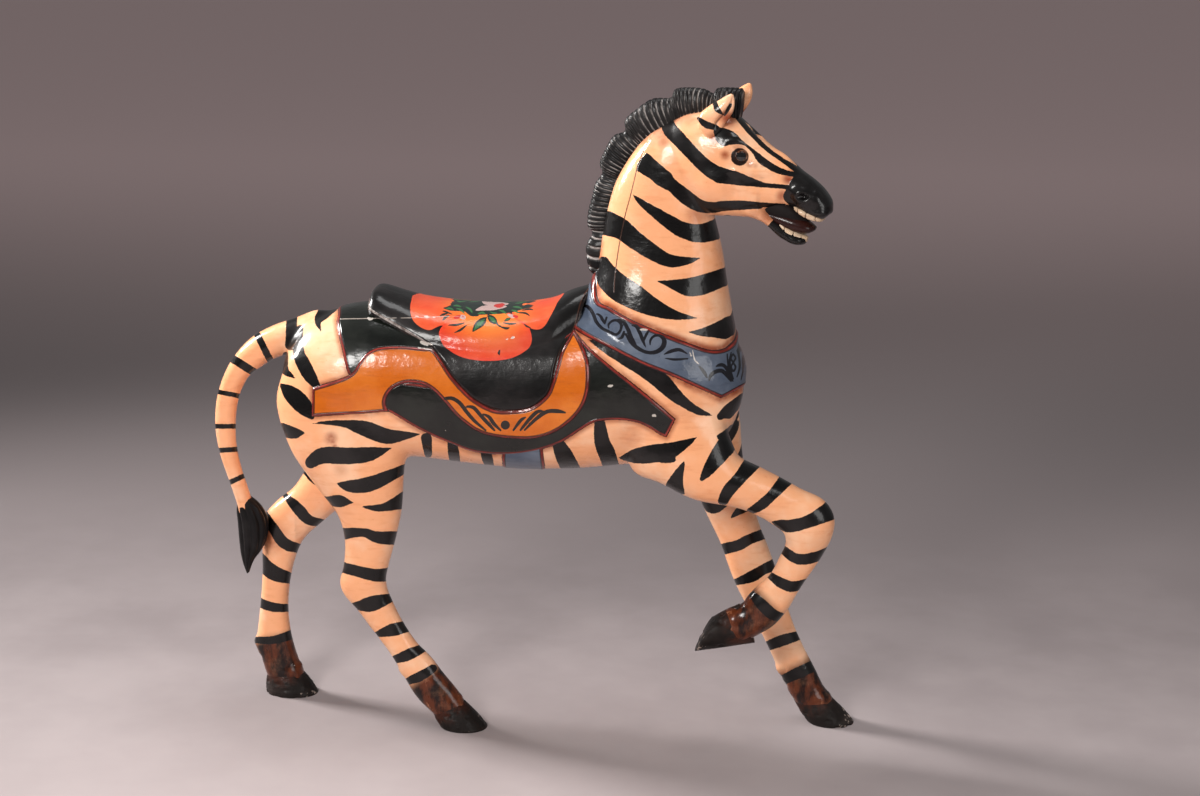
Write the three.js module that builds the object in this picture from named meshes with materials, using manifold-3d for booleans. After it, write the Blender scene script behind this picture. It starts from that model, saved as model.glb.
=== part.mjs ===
import * as THREE from 'three';
import { mergeVertices } from 'three/addons/utils/BufferGeometryUtils.js';
import Module from 'manifold-3d';

const height = 1500; // floor to the crown of the mane; the ears stand a little higher
const u = height / 1000; // the carving is set out in thousandths of its height
const headTurn = THREE.MathUtils.degToRad(14); // the head looks to its right
const turnPivot = 170; // x of the upright line that the head turns about
const turnLow = 700; // crest height where the neck starts to turn
const turnHigh = 930; // crest height where it is turned in full
const hoofY = 50; // middle of each hoof from the middle plane
const raisedY = 52; // the raised hoof
const eyeRadius = 10;
const eyeDrop = 38; // centre of each eye below the brow's station
const eyeInset = 8; // in from the skull's side
const eyeSetback = 3; // behind the brow's station
const eyeGap = 0.3; // clearance of each glass eye in its socket, mm
const clothLift = 3; // dark undercloth over the coat
const rearLift = 3.5; // cloth behind the saddle
const skirtLift = 6; // saddle skirt
const seatLift = 8; // saddle seat and its flap
const collarLift = 4; // breast collar
const girthLift = 1.6;

// A station is one cut through a limb or the trunk: x and z of its leading edge,
// x and z of its trailing edge, half its width, and y of its middle.
const trunk = [
  [-387, 556, -390, 505, 30, 0],
  [-378, 598, -380, 462, 68, 0],
  [-350, 636, -345, 436, 94, 0],
  [-305, 655, -295, 430, 106, 0],
  [-250, 665, -245, 430, 110, 0],
  [-180, 663, -180, 431, 109, 0],
  [-110, 660, -110, 425, 107, 0],
  [-20, 660, -20, 419, 106, 0],
  [60, 668, 60, 421, 105, 0],
  [130, 686, 130, 429, 102, 0],
  [195, 688, 200, 439, 97, 0],
  [250, 672, 255, 453, 86, 0],
  [288, 642, 295, 480, 66, 0],
  [310, 612, 313, 520, 40, 0],
  [319, 585, 319, 548, 18, 0],
];
const neck = [
  [62, 640, 296, 560, 90, 0],
  [80, 690, 306, 625, 87, 0],
  [91, 718, 297, 682, 79, 0],
  [98, 748, 291, 714, 70, 0],
  [104, 788, 286, 747, 62, 0],
  [112, 830, 278, 786, 56, 0],
  [125, 869, 271, 814, 52, 0],
  [149, 909, 268, 830, 48, 0],
  [176, 939, 266, 840, 45, 0],
  [206, 956, 268, 850, 40, 0],
];
const skull = [
  [196, 948, 232, 835, 38, 0],
  [228, 969, 255, 823, 45, 0],
  [257, 975, 278, 820, 48, 0],
  [295, 973, 302, 821, 46, 0],
  [325, 952, 329, 821, 41, 0],
  [352, 929, 345, 822, 35, 0],
];
const upperJaw = [
  [321, 953, 314, 845, 40, 0],
  [354, 928, 346, 834, 33, 0],
  [385, 908, 373, 840, 28, 0],
  [404, 893, 390, 843, 26, 0],
  [421, 881, 404, 836, 27, 0],
  [436, 866, 415, 827, 26, 0],
  [445, 850, 425, 818, 21, 0],
  [445, 833, 433, 817, 12, 0],
];
const lowerJaw = [
  [333, 855, 327, 822, 28, 0],
  [358, 832, 353, 814, 25, 0],
  [379, 816, 377, 794, 22, 0],
  [396, 807, 396, 787, 20, 0],
  [408, 801, 409, 785, 15, 0],
  [415, 796, 414, 789, 7, 0],
];
const tongue = [
  [346, 836, 352, 820, 13, 0],
  [385, 824, 381, 806, 13, 0],
  [406, 817, 404, 801, 12, 0],
  [418, 813, 417, 804, 8, 0],
  [423, 810, 422, 807, 3, 0],
];
const upperTeeth = [
  [379, 850, 379, 835, 22, 0],
  [402, 843, 399, 828, 22, 0],
  [418, 833, 413, 819, 19, 0],
  [428, 824, 425, 811, 12, 0],
];
const lowerTeeth = [
  [377, 812, 377, 800, 19, 0],
  [385, 814, 385, 797, 19, 0],
  [398, 812, 398, 795, 17, 0],
  [409, 806, 409, 792, 11, 0],
];
const ear = [
  [285, 945, 258, 963, 11, 31],
  [294, 957, 262, 974, 13, 34],
  [303, 967, 273, 984, 13, 36],
  [309, 978, 286, 992, 11, 37],
  [311, 990, 299, 1000, 7, 37],
  [309, 1001, 305, 1003, 2.5, 36],
];
const earCup = [
  [298, 966, 291, 970, 3, 47],
  [303, 975, 293, 980, 5, 48],
  [306, 985, 298, 989, 4.5, 46],
  [307, 993, 303, 995, 2.5, 43],
];
const farEarShift = [5, 8]; // the left ear is pricked further forward and up
// Along the crest: x and z of the outer edge, then of the foot in the neck.
const mane = [
  [97, 716, 116, 718, 10, 0],
  [84, 727, 122, 730, 15, 0],
  [79, 745, 124, 750, 17, 0],
  [78, 765, 126, 768, 16, 0],
  [86, 783, 128, 786, 12, 0],
  [79, 794, 129, 798, 16, 0],
  [79, 813, 131, 813, 17, 0],
  [84, 836, 134, 830, 17, 0],
  [89, 857, 138, 847, 16, 0],
  [99, 873, 143, 861, 12, 0],
  [95, 888, 147, 868, 16, 0],
  [104, 910, 152, 881, 17, 0],
  [116, 929, 160, 896, 16, 0],
  [133, 937, 170, 906, 12, 0],
  [134, 954, 174, 913, 16, 0],
  [151, 970, 185, 924, 17, 0],
  [175, 986, 200, 935, 17, 0],
  [203, 989, 218, 943, 12, 0],
  [211, 998, 226, 947, 16, 0],
  [234, 1000, 243, 952, 17, 0],
  [256, 999, 258, 956, 16, 0],
  [269, 990, 269, 957, 12, 0],
  [279, 997, 281, 957, 17, 0],
  [298, 999, 300, 956, 18, 0],
  [309, 994, 306, 958, 13, 0],
];
const hindNear = [
  [-225, 600, -368, 596, 36, -55],
  [-192, 525, -389, 525, 48, -60],
  [-190, 448, -370, 452, 48, -61],
  [-194, 404, -328, 388, 40, -60],
  [-198, 356, -299, 346, 32, -57],
  [-208, 310, -289, 304, 27, -54],
  [-220, 266, -292, 261, 24, -52],
  [-226, 240, -299, 232, 24, -51],
  [-224, 221, -292, 210, 23, -50],
  [-216, 200, -272, 187, 21, -50],
  [-202, 171, -246, 150, 18, -50],
  [-180, 136, -224, 121, 18, -50],
  [-156, 111, -201, 82, 20, -50],
  [-136, 84, -186, 55, 22, -50],
  [-119, 64, -173, 38, 21, -50],
  [-108, 48, -160, 26, 22, -50],
  [-98, 32, -148, 14, 20, -50],
];
const hindFar = [
  [-225, 600, -368, 596, 36, 55],
  [-200, 515, -389, 520, 48, 60],
  [-222, 434, -380, 452, 48, 61],
  [-268, 372, -372, 396, 40, 59],
  [-314, 326, -394, 352, 32, 56],
  [-352, 292, -424, 326, 27, 53],
  [-379, 266, -446, 298, 25, 51],
  [-394, 236, -449, 258, 22, 50],
  [-405, 195, -451, 200, 19, 50],
  [-410, 150, -456, 150, 18, 50],
  [-408, 110, -461, 112, 19, 50],
  [-402, 78, -465, 80, 22, 50],
  [-394, 52, -456, 54, 21, 50],
  [-388, 38, -451, 38, 23, 50],
  [-384, 22, -446, 22, 20, 50],
];
const foreFar = [
  [300, 565, 170, 545, 40, 44],
  [312, 495, 200, 475, 46, 50],
  [318, 432, 230, 415, 40, 53],
  [330, 375, 252, 362, 33, 53],
  [342, 335, 269, 326, 28, 52],
  [355, 300, 287, 289, 25, 51],
  [368, 268, 301, 250, 25, 50],
  [381, 232, 315, 217, 24, 50],
  [394, 190, 334, 181, 20, 50],
  [408, 152, 353, 146, 18, 50],
  [424, 118, 371, 109, 18, 50],
  [441, 86, 385, 79, 20, 50],
  [455, 58, 397, 52, 21, 50],
  [468, 42, 408, 36, 23, 50],
  [474, 26, 418, 20, 20, 50],
];
const foreNear = [
  [262, 575, 138, 505, 38, -46],
  [290, 520, 155, 436, 45, -51],
  [304, 486, 198, 417, 44, -54],
  [318, 460, 250, 394, 40, -57],
  [347, 446, 311, 384, 34, -57],
  [380, 430, 345, 372, 29, -56],
  [412, 413, 371, 357, 27, -55],
  [444, 398, 386, 345, 28, -54],
  [461, 373, 390, 331, 28, -54],
  [460, 344, 387, 317, 25, -53],
  [449, 317, 381, 304, 22, -52],
  [436, 293, 375, 289, 20, -52],
  [421, 268, 365, 272, 19, -52],
  [409, 246, 350, 257, 20, -52],
  [398, 224, 336, 241, 22, -52],
  [378, 197, 328, 228, 22, -52],
  [352, 178, 318, 222, 22, -52],
  [334, 168, 306, 218, 24, -52],
  [314, 164, 298, 210, 20, -52],
];
// Each hoof: the coronet's front and back, the sole's front and back, y, half widths.
const hooves = [
  [[-101, 42, -157, 22], [-67, 0, -142, 0], -hoofY],
  [[-386, 37, -451, 34], [-364, 0, -450, 0], hoofY],
  [[470, 41, 406, 33], [505, 0, 431, 0], hoofY],
  [[334, 162, 310, 221], [256, 149, 284, 201], -raisedY],
];
const coronetWidth = 25;
const soleWidth = 32;
const tail = [
  [-300, 640, -330, 575, 26, 0],
  [-332, 655, -354, 586, 28, 0],
  [-371, 641, -385, 581, 27, 0],
  [-411, 625, -406, 574, 25, 0],
  [-442, 607, -428, 560, 23, 0],
  [-468, 580, -447, 545, 20, 0],
  [-487, 549, -460, 524, 18, 0],
  [-500, 513, -468, 500, 16, 0],
  [-505, 482, -472, 472, 15, 0],
  [-505, 450, -473, 440, 15, 0],
  [-499, 411, -469, 402, 15, 3],
  [-488, 370, -460, 362, 15, 8],
  [-478, 330, -452, 328, 15, 13],
  [-478, 316, -452, 316, 14, 14],
];
const tuft = [
  [-475, 340, -454, 342, 12, 12],
  [-480, 322, -440, 328, 18, 15],
  [-480, 298, -431, 304, 23, 19],
  [-479, 272, -433, 276, 23, 19],
  [-477, 250, -442, 254, 18, 17],
  [-473, 232, -455, 236, 10, 15],
  [-467, 214, -463, 216, 3, 14],
];
const seatTop = [
  [-249, 680, -249, 600, 40, 0],
  [-240, 694, -240, 590, 62, 0],
  [-204, 684, -204, 580, 74, 0],
  [-170, 675, -170, 575, 82, 0],
  [-109, 669, -109, 570, 86, 0],
  [-38, 669, -38, 570, 86, 0],
  [23, 678, 23, 575, 80, 0],
  [55, 694, 55, 590, 66, 0],
  [84, 704, 84, 600, 50, 0],
];
// Side outlines of the tack in x and z, the same on both flanks.
const clothEdge = [
  [-208, 546], [-206, 525], [-190, 516], [-139, 489], [-83, 469], [-28, 465], [28, 476],
  [80, 505], [101, 519], [142, 525], [183, 516], [212, 502], [223, 529], [159, 581],
  [96, 632], [72, 656], [-60, 600], [-160, 572], [-182, 570], [-198, 562],
];
const rearEdge = [
  [-284, 760], [-284, 674], [-287, 655], [-282, 632], [-278, 613], [-273, 585], [-268, 573],
  [-150, 600], [-150, 640], [-225, 690], [-225, 760],
];
const skirtEdge = [
  [-324, 512], [-321, 556], [-266, 577], [-248, 599], [-235, 614], [-216, 621], [-184, 624],
  [-137, 626], [-60, 640], [73, 657], [84, 638], [96, 592], [94, 564], [85, 541], [69, 521],
  [46, 504], [19, 493], [-9, 491], [-46, 493], [-74, 502], [-101, 522], [-120, 542],
  [-138, 561], [-156, 569], [-180, 569], [-198, 561], [-208, 549], [-206, 525],
];
const seatEdge = [
  [-251, 760], [-251, 664], [-234, 657], [-201, 649], [-169, 636], [-137, 621], [-110, 583],
  [-73, 546], [-46, 533], [-18, 533], [9, 539], [32, 557], [48, 600], [68, 649], [76, 688],
  [88, 760],
];
const collarEdge = [
  [70, 655], [76, 690], [88, 760], [104, 760], [102, 702], [123, 684], [155, 667], [191, 652],
  [232, 637], [267, 619], [289, 614], [306, 622], [345, 628], [345, 556], [304, 552],
  [287, 547], [256, 569], [216, 590], [171, 607], [125, 629], [89, 646],
];
const girthEdge = [[-41, 380], [23, 380], [22, 500], [-33, 500]];

const wasm = await Module();
wasm.setup();

const union = (solids) => solids.reduce((sum, solid) => sum.add(solid));

function spline(stations, steps) {
  const at = (i) => stations[Math.min(Math.max(i, 0), stations.length - 1)];
  const rows = [];
  for (let i = 0; i < stations.length - 1; i++) {
    for (let k = 0; k < steps; k++) {
      const t = k / steps;
      rows.push(at(i).map((_, c) => {
        const [a, b, d, e] = [at(i - 1)[c], at(i)[c], at(i + 1)[c], at(i + 2)[c]];
        const bend = (2 * a - 5 * b + 4 * d - e) * t + (3 * (b - d) + e - a) * t * t;
        return b + 0.5 * t * (d - a + bend);
      }));
    }
  }
  rows.push(stations.at(-1));
  return rows;
}

function turned(x, y, share) {
  const angle = headTurn * share;
  const reach = x - turnPivot;
  return [
    turnPivot + reach * Math.cos(angle) + y * Math.sin(angle),
    y * Math.cos(angle) - reach * Math.sin(angle),
  ];
}

const turnShare = (crest) => THREE.MathUtils.smoothstep(crest, turnLow, turnHigh);

function toSolid(geometry) {
  geometry.deleteAttribute('normal');
  geometry.deleteAttribute('uv');
  const clean = mergeVertices(geometry, 1e-4);
  const points = clean.getAttribute('position').array;
  const triangles = clean.index.array;
  return new wasm.Manifold(new wasm.Mesh({
    numProp: 3,
    vertProperties: Float32Array.from(points),
    triVerts: Uint32Array.from(triangles),
  }));
}

function volumeSign(points, index) {
  const corner = (i) => new THREE.Vector3().fromArray(points, 3 * index[i]);
  let sum = 0;
  for (let i = 0; i < index.length; i += 3) {
    sum += corner(i).dot(corner(i + 1).cross(corner(i + 2)));
  }
  return Math.sign(sum);
}

// A skin through rounded rings, one for each station, closed at both ends.
function loft(stations, { sides = 12, steps = 1, fullness = 2.2, share = () => 0 } = {}) {
  const rows = spline(stations, steps);
  const round = (value) => Math.sign(value) * Math.abs(value) ** (2 / fullness);
  const points = [];
  const place = (x, y, z, part) => {
    const [tx, ty] = turned(x, y, part);
    points.push(tx * u, ty * u, z * u);
  };
  for (const row of rows) {
    const [ax, az, bx, bz, half, mid] = row;
    for (let k = 0; k < sides; k++) {
      const angle = (2 * Math.PI * k) / sides;
      const along = round(Math.cos(angle));
      const x = (ax + bx + (ax - bx) * along) / 2;
      const z = (az + bz + (az - bz) * along) / 2;
      place(x, mid + half * round(Math.sin(angle)), z, share(row));
    }
  }
  for (const row of [rows[0], rows.at(-1)]) {
    place((row[0] + row[2]) / 2, row[5], (row[1] + row[3]) / 2, share(row));
  }
  const first = rows.length * sides;
  const index = [];
  for (let k = 0; k < sides; k++) {
    const next = (k + 1) % sides;
    for (let r = 0; r < rows.length - 1; r++) {
      const [a, b] = [r * sides + k, r * sides + next];
      index.push(a, b, a + sides, b, b + sides, a + sides);
    }
    const last = first - sides;
    index.push(first, next, k, first + 1, last + k, last + next);
  }
  const sign = volumeSign(points, index);
  const geometry = new THREE.BufferGeometry();
  geometry.setAttribute('position', new THREE.Float32BufferAttribute(points, 3));
  geometry.setIndex(sign > 0 ? index : index.reverse());
  return toSolid(geometry);
}

// A slab through the whole width of the animal with the given side outline.
function slab(edge) {
  const reach = 200 * u;
  const shape = new THREE.Shape(edge.map(([x, z]) => new THREE.Vector2(x * u, z * u)));
  const geometry = new THREE.ExtrudeGeometry(shape, { depth: 2 * reach, bevelEnabled: false });
  geometry.translate(0, 0, -reach);
  geometry.rotateX(Math.PI / 2);
  return toSolid(geometry);
}

function lifted(stations, lift) {
  return stations.map(([ax, az, bx, bz, half, mid]) => {
    const length = Math.hypot(ax - bx, az - bz);
    const [dx, dz] = [(ax - bx) / length, (az - bz) / length];
    return [ax + dx * lift, az + dz * lift, bx - dx * lift, bz - dz * lift, half + lift, mid];
  });
}

const mirrored = (stations) => stations.map((row) => [...row.slice(0, 5), -row[5]]);
const trunkForm = { sides: 20, steps: 1, fullness: 2.25 };
const neckForm = { sides: 16, steps: 1, fullness: 2.1, share: (row) => turnShare(row[1]) };
const headForm = { sides: 12, steps: 2, fullness: 2.3, share: () => 1 };
const jawForm = { sides: 10, steps: 2, fullness: 2.6, share: () => 1 };
const smallForm = { sides: 8, steps: 1, fullness: 2.6, share: () => 1 };

function coat(lift) {
  const parts = [
    loft(lifted(trunk, lift), trunkForm),
    loft(lifted(neck.slice(0, 5), lift), neckForm),
  ];
  for (const leg of [hindNear, hindFar, foreFar, foreNear]) {
    parts.push(loft(lifted(leg.slice(0, 4), lift)));
  }
  return union(parts);
}

const tack = (lift, edge) => coat(lift).intersect(slab(edge));

function hoof([top, bottom, mid]) {
  const crown = [...top, coronetWidth, mid];
  const sole = [...bottom, soleWidth, mid];
  const wall = crown.map((value, i) => value + 0.5 * (sole[i] - value));
  return loft([crown, wall, sole], { sides: 14, steps: 1, fullness: 2.3 });
}

function grooved(stations) {
  const steps = 3;
  return spline(stations, steps).map((row, i) => {
    const [ax, az, bx, bz, half, mid] = row;
    const cut = i % steps === 1 ? 0.93 : 1;
    return [bx + (ax - bx) * cut, bz + (az - bz) * cut, bx, bz, half * cut * cut, mid];
  });
}

const shifted = (stations, [dx, dz]) =>
  stations.map(([ax, az, bx, bz, half, mid]) => [ax + dx, az + dz, bx + dx, bz + dz, half, mid]);

function ears() {
  const nearEar = loft(mirrored(ear), { ...headForm, sides: 8 });
  const farEar = loft(shifted(ear, farEarShift), { ...headForm, sides: 8 });
  const nearCup = loft(mirrored(earCup), smallForm);
  const farCup = loft(shifted(earCup, farEarShift), smallForm);
  return nearEar.subtract(nearCup).add(farEar.subtract(farCup));
}

function eyeball(side, radius) {
  const ball = new THREE.SphereGeometry(radius, 16, 10);
  const [browX, browZ, , , browHalf] = skull.at(-2);
  const [x, y] = turned(browX - eyeSetback, side * (browHalf - eyeInset), 1);
  ball.rotateX(Math.PI / 2);
  ball.translate(x * u, y * u, (browZ - eyeDrop) * u);
  return toSolid(ball);
}

const seat = loft(seatTop, { sides: 16, steps: 1, fullness: 2.6 }).add(coat(seatLift));
const manePart = { sides: 6, steps: 1, fullness: 2.4, share: (row) => turnShare(row[3] + 8) };
const solid = union([
  loft(trunk, trunkForm),
  loft(neck, neckForm),
  loft(skull, { ...headForm, sides: 16 }),
  loft(upperJaw, headForm),
  loft(lowerJaw, jawForm),
  loft(tongue, smallForm),
  loft(upperTeeth, smallForm),
  loft(lowerTeeth, smallForm),
  loft(grooved(mane), manePart),
  ears(),
  loft(hindNear),
  loft(hindFar),
  loft(foreFar),
  loft(foreNear),
  ...hooves.map(hoof),
  loft(tail, { sides: 9 }),
  loft(tuft, { sides: 9 }),
  tack(clothLift, clothEdge),
  tack(rearLift, rearEdge),
  tack(skirtLift, skirtEdge),
  seat.intersect(slab(seatEdge)),
  tack(collarLift, collarEdge),
  tack(girthLift, girthEdge),
]);
const sockets = [-1, 1].map((side) => eyeball(side, eyeRadius * u + eyeGap));
const carved = solid.subtract(union(sockets));

function toMesh(name, body, color, roughness) {
  const { vertProperties, triVerts } = body.getMesh();
  const geometry = new THREE.BufferGeometry();
  geometry.setAttribute('position', new THREE.BufferAttribute(vertProperties, 3));
  geometry.setIndex(new THREE.BufferAttribute(triVerts, 1));
  const mesh = new THREE.Mesh(geometry, new THREE.MeshStandardMaterial({ color, roughness }));
  mesh.name = name;
  return mesh;
}

const part = new THREE.Group();
part.add(toMesh('zebra', carved, 0xf0b98a, 0.4));
part.add(toMesh('right_eye', eyeball(-1, eyeRadius * u), 0x24120a, 0.05));
part.add(toMesh('left_eye', eyeball(1, eyeRadius * u), 0x24120a, 0.05));

export default part;
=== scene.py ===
import math

import bpy
import bmesh
import numpy as np
from mathutils import Matrix, Vector
from mathutils.bvhtree import BVHTree


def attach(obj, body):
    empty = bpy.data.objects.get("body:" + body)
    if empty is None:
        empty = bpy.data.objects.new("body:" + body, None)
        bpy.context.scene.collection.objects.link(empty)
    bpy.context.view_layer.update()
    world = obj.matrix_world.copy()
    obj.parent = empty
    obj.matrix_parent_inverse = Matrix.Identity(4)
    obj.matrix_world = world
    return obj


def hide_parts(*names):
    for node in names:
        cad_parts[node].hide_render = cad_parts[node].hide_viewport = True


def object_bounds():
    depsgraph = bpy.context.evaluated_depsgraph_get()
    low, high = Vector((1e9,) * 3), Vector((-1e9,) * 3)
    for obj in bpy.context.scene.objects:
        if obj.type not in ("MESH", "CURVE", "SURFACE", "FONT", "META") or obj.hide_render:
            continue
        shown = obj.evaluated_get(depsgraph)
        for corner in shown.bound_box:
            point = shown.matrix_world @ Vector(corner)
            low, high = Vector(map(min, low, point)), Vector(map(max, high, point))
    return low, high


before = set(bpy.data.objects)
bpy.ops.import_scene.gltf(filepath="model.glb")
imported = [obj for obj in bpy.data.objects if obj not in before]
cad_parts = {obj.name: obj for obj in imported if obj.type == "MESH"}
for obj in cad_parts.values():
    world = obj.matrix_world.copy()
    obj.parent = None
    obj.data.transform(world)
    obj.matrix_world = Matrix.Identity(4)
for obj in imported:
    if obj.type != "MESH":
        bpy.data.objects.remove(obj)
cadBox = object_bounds()

unit = 0.0015          # one thousandth of the animal's height
turnPivot = 170 * unit  # upright line that the head turns about
headTurn = math.radians(14)
turnLow, turnHigh = 700, 930     # heights on the neck where the turn starts and is full

eye = np.array([0.662, -4.783, 2.065])     # where the photograph was taken from
aim = np.array([-0.01, 0.0, 0.771])        # point that shows at sheetMiddle
back = (eye - aim) / np.linalg.norm(eye - aim)
right = np.cross([0, 0, 1], back)
right /= np.linalg.norm(right)
upward = np.cross(back, right)
focal = 2174.0                             # in pixels of the 1200 pixel wide photograph
sheetMiddle = np.array([530.0, 405.0])
sheetWidth, sheetHeight = 1200, 796
filmWidth = 36                             # mm


def makeCamera():
    data = bpy.data.cameras.new("camera")
    data.sensor_width = filmWidth
    data.lens = focal / sheetWidth * filmWidth
    data.shift_x = (sheetWidth / 2 - sheetMiddle[0]) / sheetWidth
    data.shift_y = (sheetMiddle[1] - sheetHeight / 2) / sheetWidth
    camera = bpy.data.objects.new("camera", data)
    bpy.context.collection.objects.link(camera)
    camera.matrix_world = Matrix([
        [right[0], upward[0], back[0], eye[0]],
        [right[1], upward[1], back[1], eye[1]],
        [right[2], upward[2], back[2], eye[2]],
        [0, 0, 0, 1]])
    bpy.context.scene.camera = camera


def makeLight(name, place, target, size, power, tint, spread=180):
    data = bpy.data.lights.new(name, "AREA")
    data.shape = "RECTANGLE"
    data.size, data.size_y = size
    data.energy = power
    data.color = tint
    data.spread = math.radians(spread)
    lamp = bpy.data.objects.new(name, data)
    bpy.context.collection.objects.link(lamp)
    lamp.location = place
    lamp.rotation_euler = (Vector(place) - Vector(target)).to_track_quat("Z", "Y").to_euler()


def add(tree, kind, links=None, **settings):
    made = tree.nodes.new(kind)
    for key, value in settings.items():
        setattr(made, key, value)
    for key, value in (links or {}).items():
        if isinstance(value, bpy.types.NodeSocket):
            tree.links.new(value, made.inputs[key])
        else:
            made.inputs[key].default_value = value
    return made


def calc(tree, operation, a, b=0.0, c=0.0):
    return add(tree, "ShaderNodeMath", {0: a, 1: b, 2: c}, operation=operation).outputs[0]


def blendColour(tree, mask, a, b):
    return add(tree, "ShaderNodeMix", {0: mask, 6: a, 7: b}, data_type="RGBA").outputs[2]


def ramp(tree, value, low, high, start=0.0, end=1.0):
    return add(tree, "ShaderNodeMapRange", {0: value, 1: low, 2: high, 3: start, 4: end},
               interpolation_type="SMOOTHSTEP").outputs[0]


def field(tree, name):
    return add(tree, "ShaderNodeAttribute", attribute_name=name).outputs["Fac"]


def cloud(tree, scale, detail=3.0, stretch=(1, 1, 1), rough=0.5):
    place = add(tree, "ShaderNodeTexCoord").outputs["Object"]
    moved = add(tree, "ShaderNodeMapping", {0: place, 3: stretch}).outputs[0]
    settings = {0: moved, "Scale": scale, "Detail": detail, "Roughness": rough}
    return add(tree, "ShaderNodeTexNoise", settings).outputs[0]


def newMaterial(name):
    made = bpy.data.materials.new(name)
    made.use_nodes = True
    tree = made.node_tree
    tree.nodes.clear()
    shader = add(tree, "ShaderNodeBsdfPrincipled")
    add(tree, "ShaderNodeOutputMaterial", {0: shader.outputs[0]})
    return made, tree, shader


# A station is one cut: x and z of its leading edge, x and z of its trailing edge,
# half its width and y of its middle, all in thousandths of the height.
trunk = [
    [-387, 556, -390, 505, 30, 0], [-378, 598, -380, 462, 68, 0], [-350, 636, -345, 436, 94, 0],
    [-305, 655, -295, 430, 106, 0], [-250, 665, -245, 430, 110, 0], [-180, 663, -180, 431, 109, 0],
    [-110, 660, -110, 425, 107, 0], [-20, 660, -20, 419, 106, 0], [60, 668, 60, 421, 105, 0],
    [130, 686, 130, 429, 102, 0], [195, 688, 200, 439, 97, 0], [250, 672, 255, 453, 86, 0],
    [288, 642, 295, 480, 66, 0], [310, 612, 313, 520, 40, 0], [319, 585, 319, 548, 18, 0]]
neck = [
    [62, 640, 296, 560, 90, 0], [80, 690, 306, 625, 87, 0], [91, 718, 297, 682, 79, 0],
    [98, 748, 291, 714, 70, 0], [104, 788, 286, 747, 62, 0], [112, 830, 278, 786, 56, 0],
    [125, 869, 271, 814, 52, 0], [149, 909, 268, 830, 48, 0], [176, 939, 266, 840, 45, 0],
    [206, 956, 268, 850, 40, 0]]
skull = [
    [196, 948, 232, 835, 38, 0], [228, 969, 255, 823, 45, 0], [257, 975, 278, 820, 48, 0],
    [295, 973, 302, 821, 46, 0], [325, 952, 329, 821, 41, 0], [352, 929, 345, 822, 35, 0]]
upperJaw = [
    [321, 953, 314, 845, 40, 0], [354, 928, 346, 834, 33, 0], [385, 908, 373, 840, 28, 0],
    [404, 893, 388, 842, 27, 0], [422, 881, 402, 836, 28, 0], [438, 867, 416, 830, 27, 0],
    [449, 851, 428, 825, 23, 0], [450, 836, 437, 824, 15, 0]]
lowerJaw = [
    [333, 855, 327, 822, 28, 0], [358, 832, 353, 814, 25, 0], [379, 816, 377, 794, 22, 0],
    [396, 807, 396, 787, 20, 0], [408, 801, 409, 785, 15, 0], [415, 796, 414, 789, 7, 0]]
tongueRows = [
    [350, 836, 354, 818, 15, 0], [384, 832, 380, 808, 19, 0], [406, 826, 403, 802, 19, 0],
    [419, 818.5, 417, 803, 15, 0], [427, 813, 425, 807, 7, 0]]
throatRows = [
    [352, 846, 352, 820, 14, 0], [374, 850, 372, 815, 17, 0], [390, 846, 388, 812, 17, 0],
    [402, 838, 400, 810, 15, 0], [412, 832, 410, 812, 10, 0], [417, 828, 416, 816, 4, 0]]
earRows = [
    [280, 928, 268, 938, 9, 29], [288, 943, 258, 954, 13, 34], [296, 957, 259, 971, 14, 36],
    [303, 967, 273, 984, 13, 37], [309, 978, 286, 992, 11, 37], [311, 990, 299, 1000, 7, 37],
    [309, 1001, 305, 1003, 2.5, 36]]
maneRows = [
    [97, 716, 116, 718, 10, 0], [84, 727, 122, 730, 15, 0], [79, 745, 124, 750, 17, 0],
    [78, 765, 126, 768, 16, 0], [86, 783, 128, 786, 12, 0], [79, 794, 129, 798, 16, 0],
    [79, 813, 131, 813, 17, 0], [84, 836, 134, 830, 17, 0], [89, 857, 138, 847, 16, 0],
    [99, 873, 143, 861, 12, 0], [95, 888, 147, 868, 16, 0], [104, 910, 152, 881, 17, 0],
    [116, 929, 160, 896, 16, 0], [133, 937, 170, 906, 12, 0], [134, 954, 174, 913, 16, 0],
    [151, 970, 185, 924, 17, 0], [175, 986, 200, 935, 17, 0], [203, 989, 218, 943, 12, 0],
    [211, 1002, 226, 947, 16, 0], [234, 1005, 243, 952, 17, 0], [254, 1003.5, 258, 956, 16, 0],
    [268, 998, 269, 957, 12, 0], [275, 1006, 281, 957, 17, 0], [296, 1007.5, 300, 956, 19, 0],
    [312, 1007, 308, 958, 15, 0]]
hindNear = [
    [-225, 600, -368, 596, 36, -55], [-192, 525, -389, 525, 48, -60], [-190, 448, -370, 452, 48, -61],
    [-194, 404, -328, 388, 40, -60], [-198, 356, -299, 346, 32, -57], [-208, 310, -289, 304, 27, -54],
    [-220, 266, -292, 261, 24, -52], [-226, 240, -299, 232, 24, -51], [-224, 221, -292, 210, 23, -50],
    [-216, 200, -272, 187, 21, -50], [-202, 171, -246, 150, 18, -50], [-180, 136, -224, 121, 18, -50],
    [-156, 111, -201, 82, 20, -50], [-136, 84, -186, 55, 22, -50], [-119, 64, -173, 38, 21, -50],
    [-108, 48, -160, 26, 22, -50], [-98, 32, -148, 14, 20, -50]]
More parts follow.
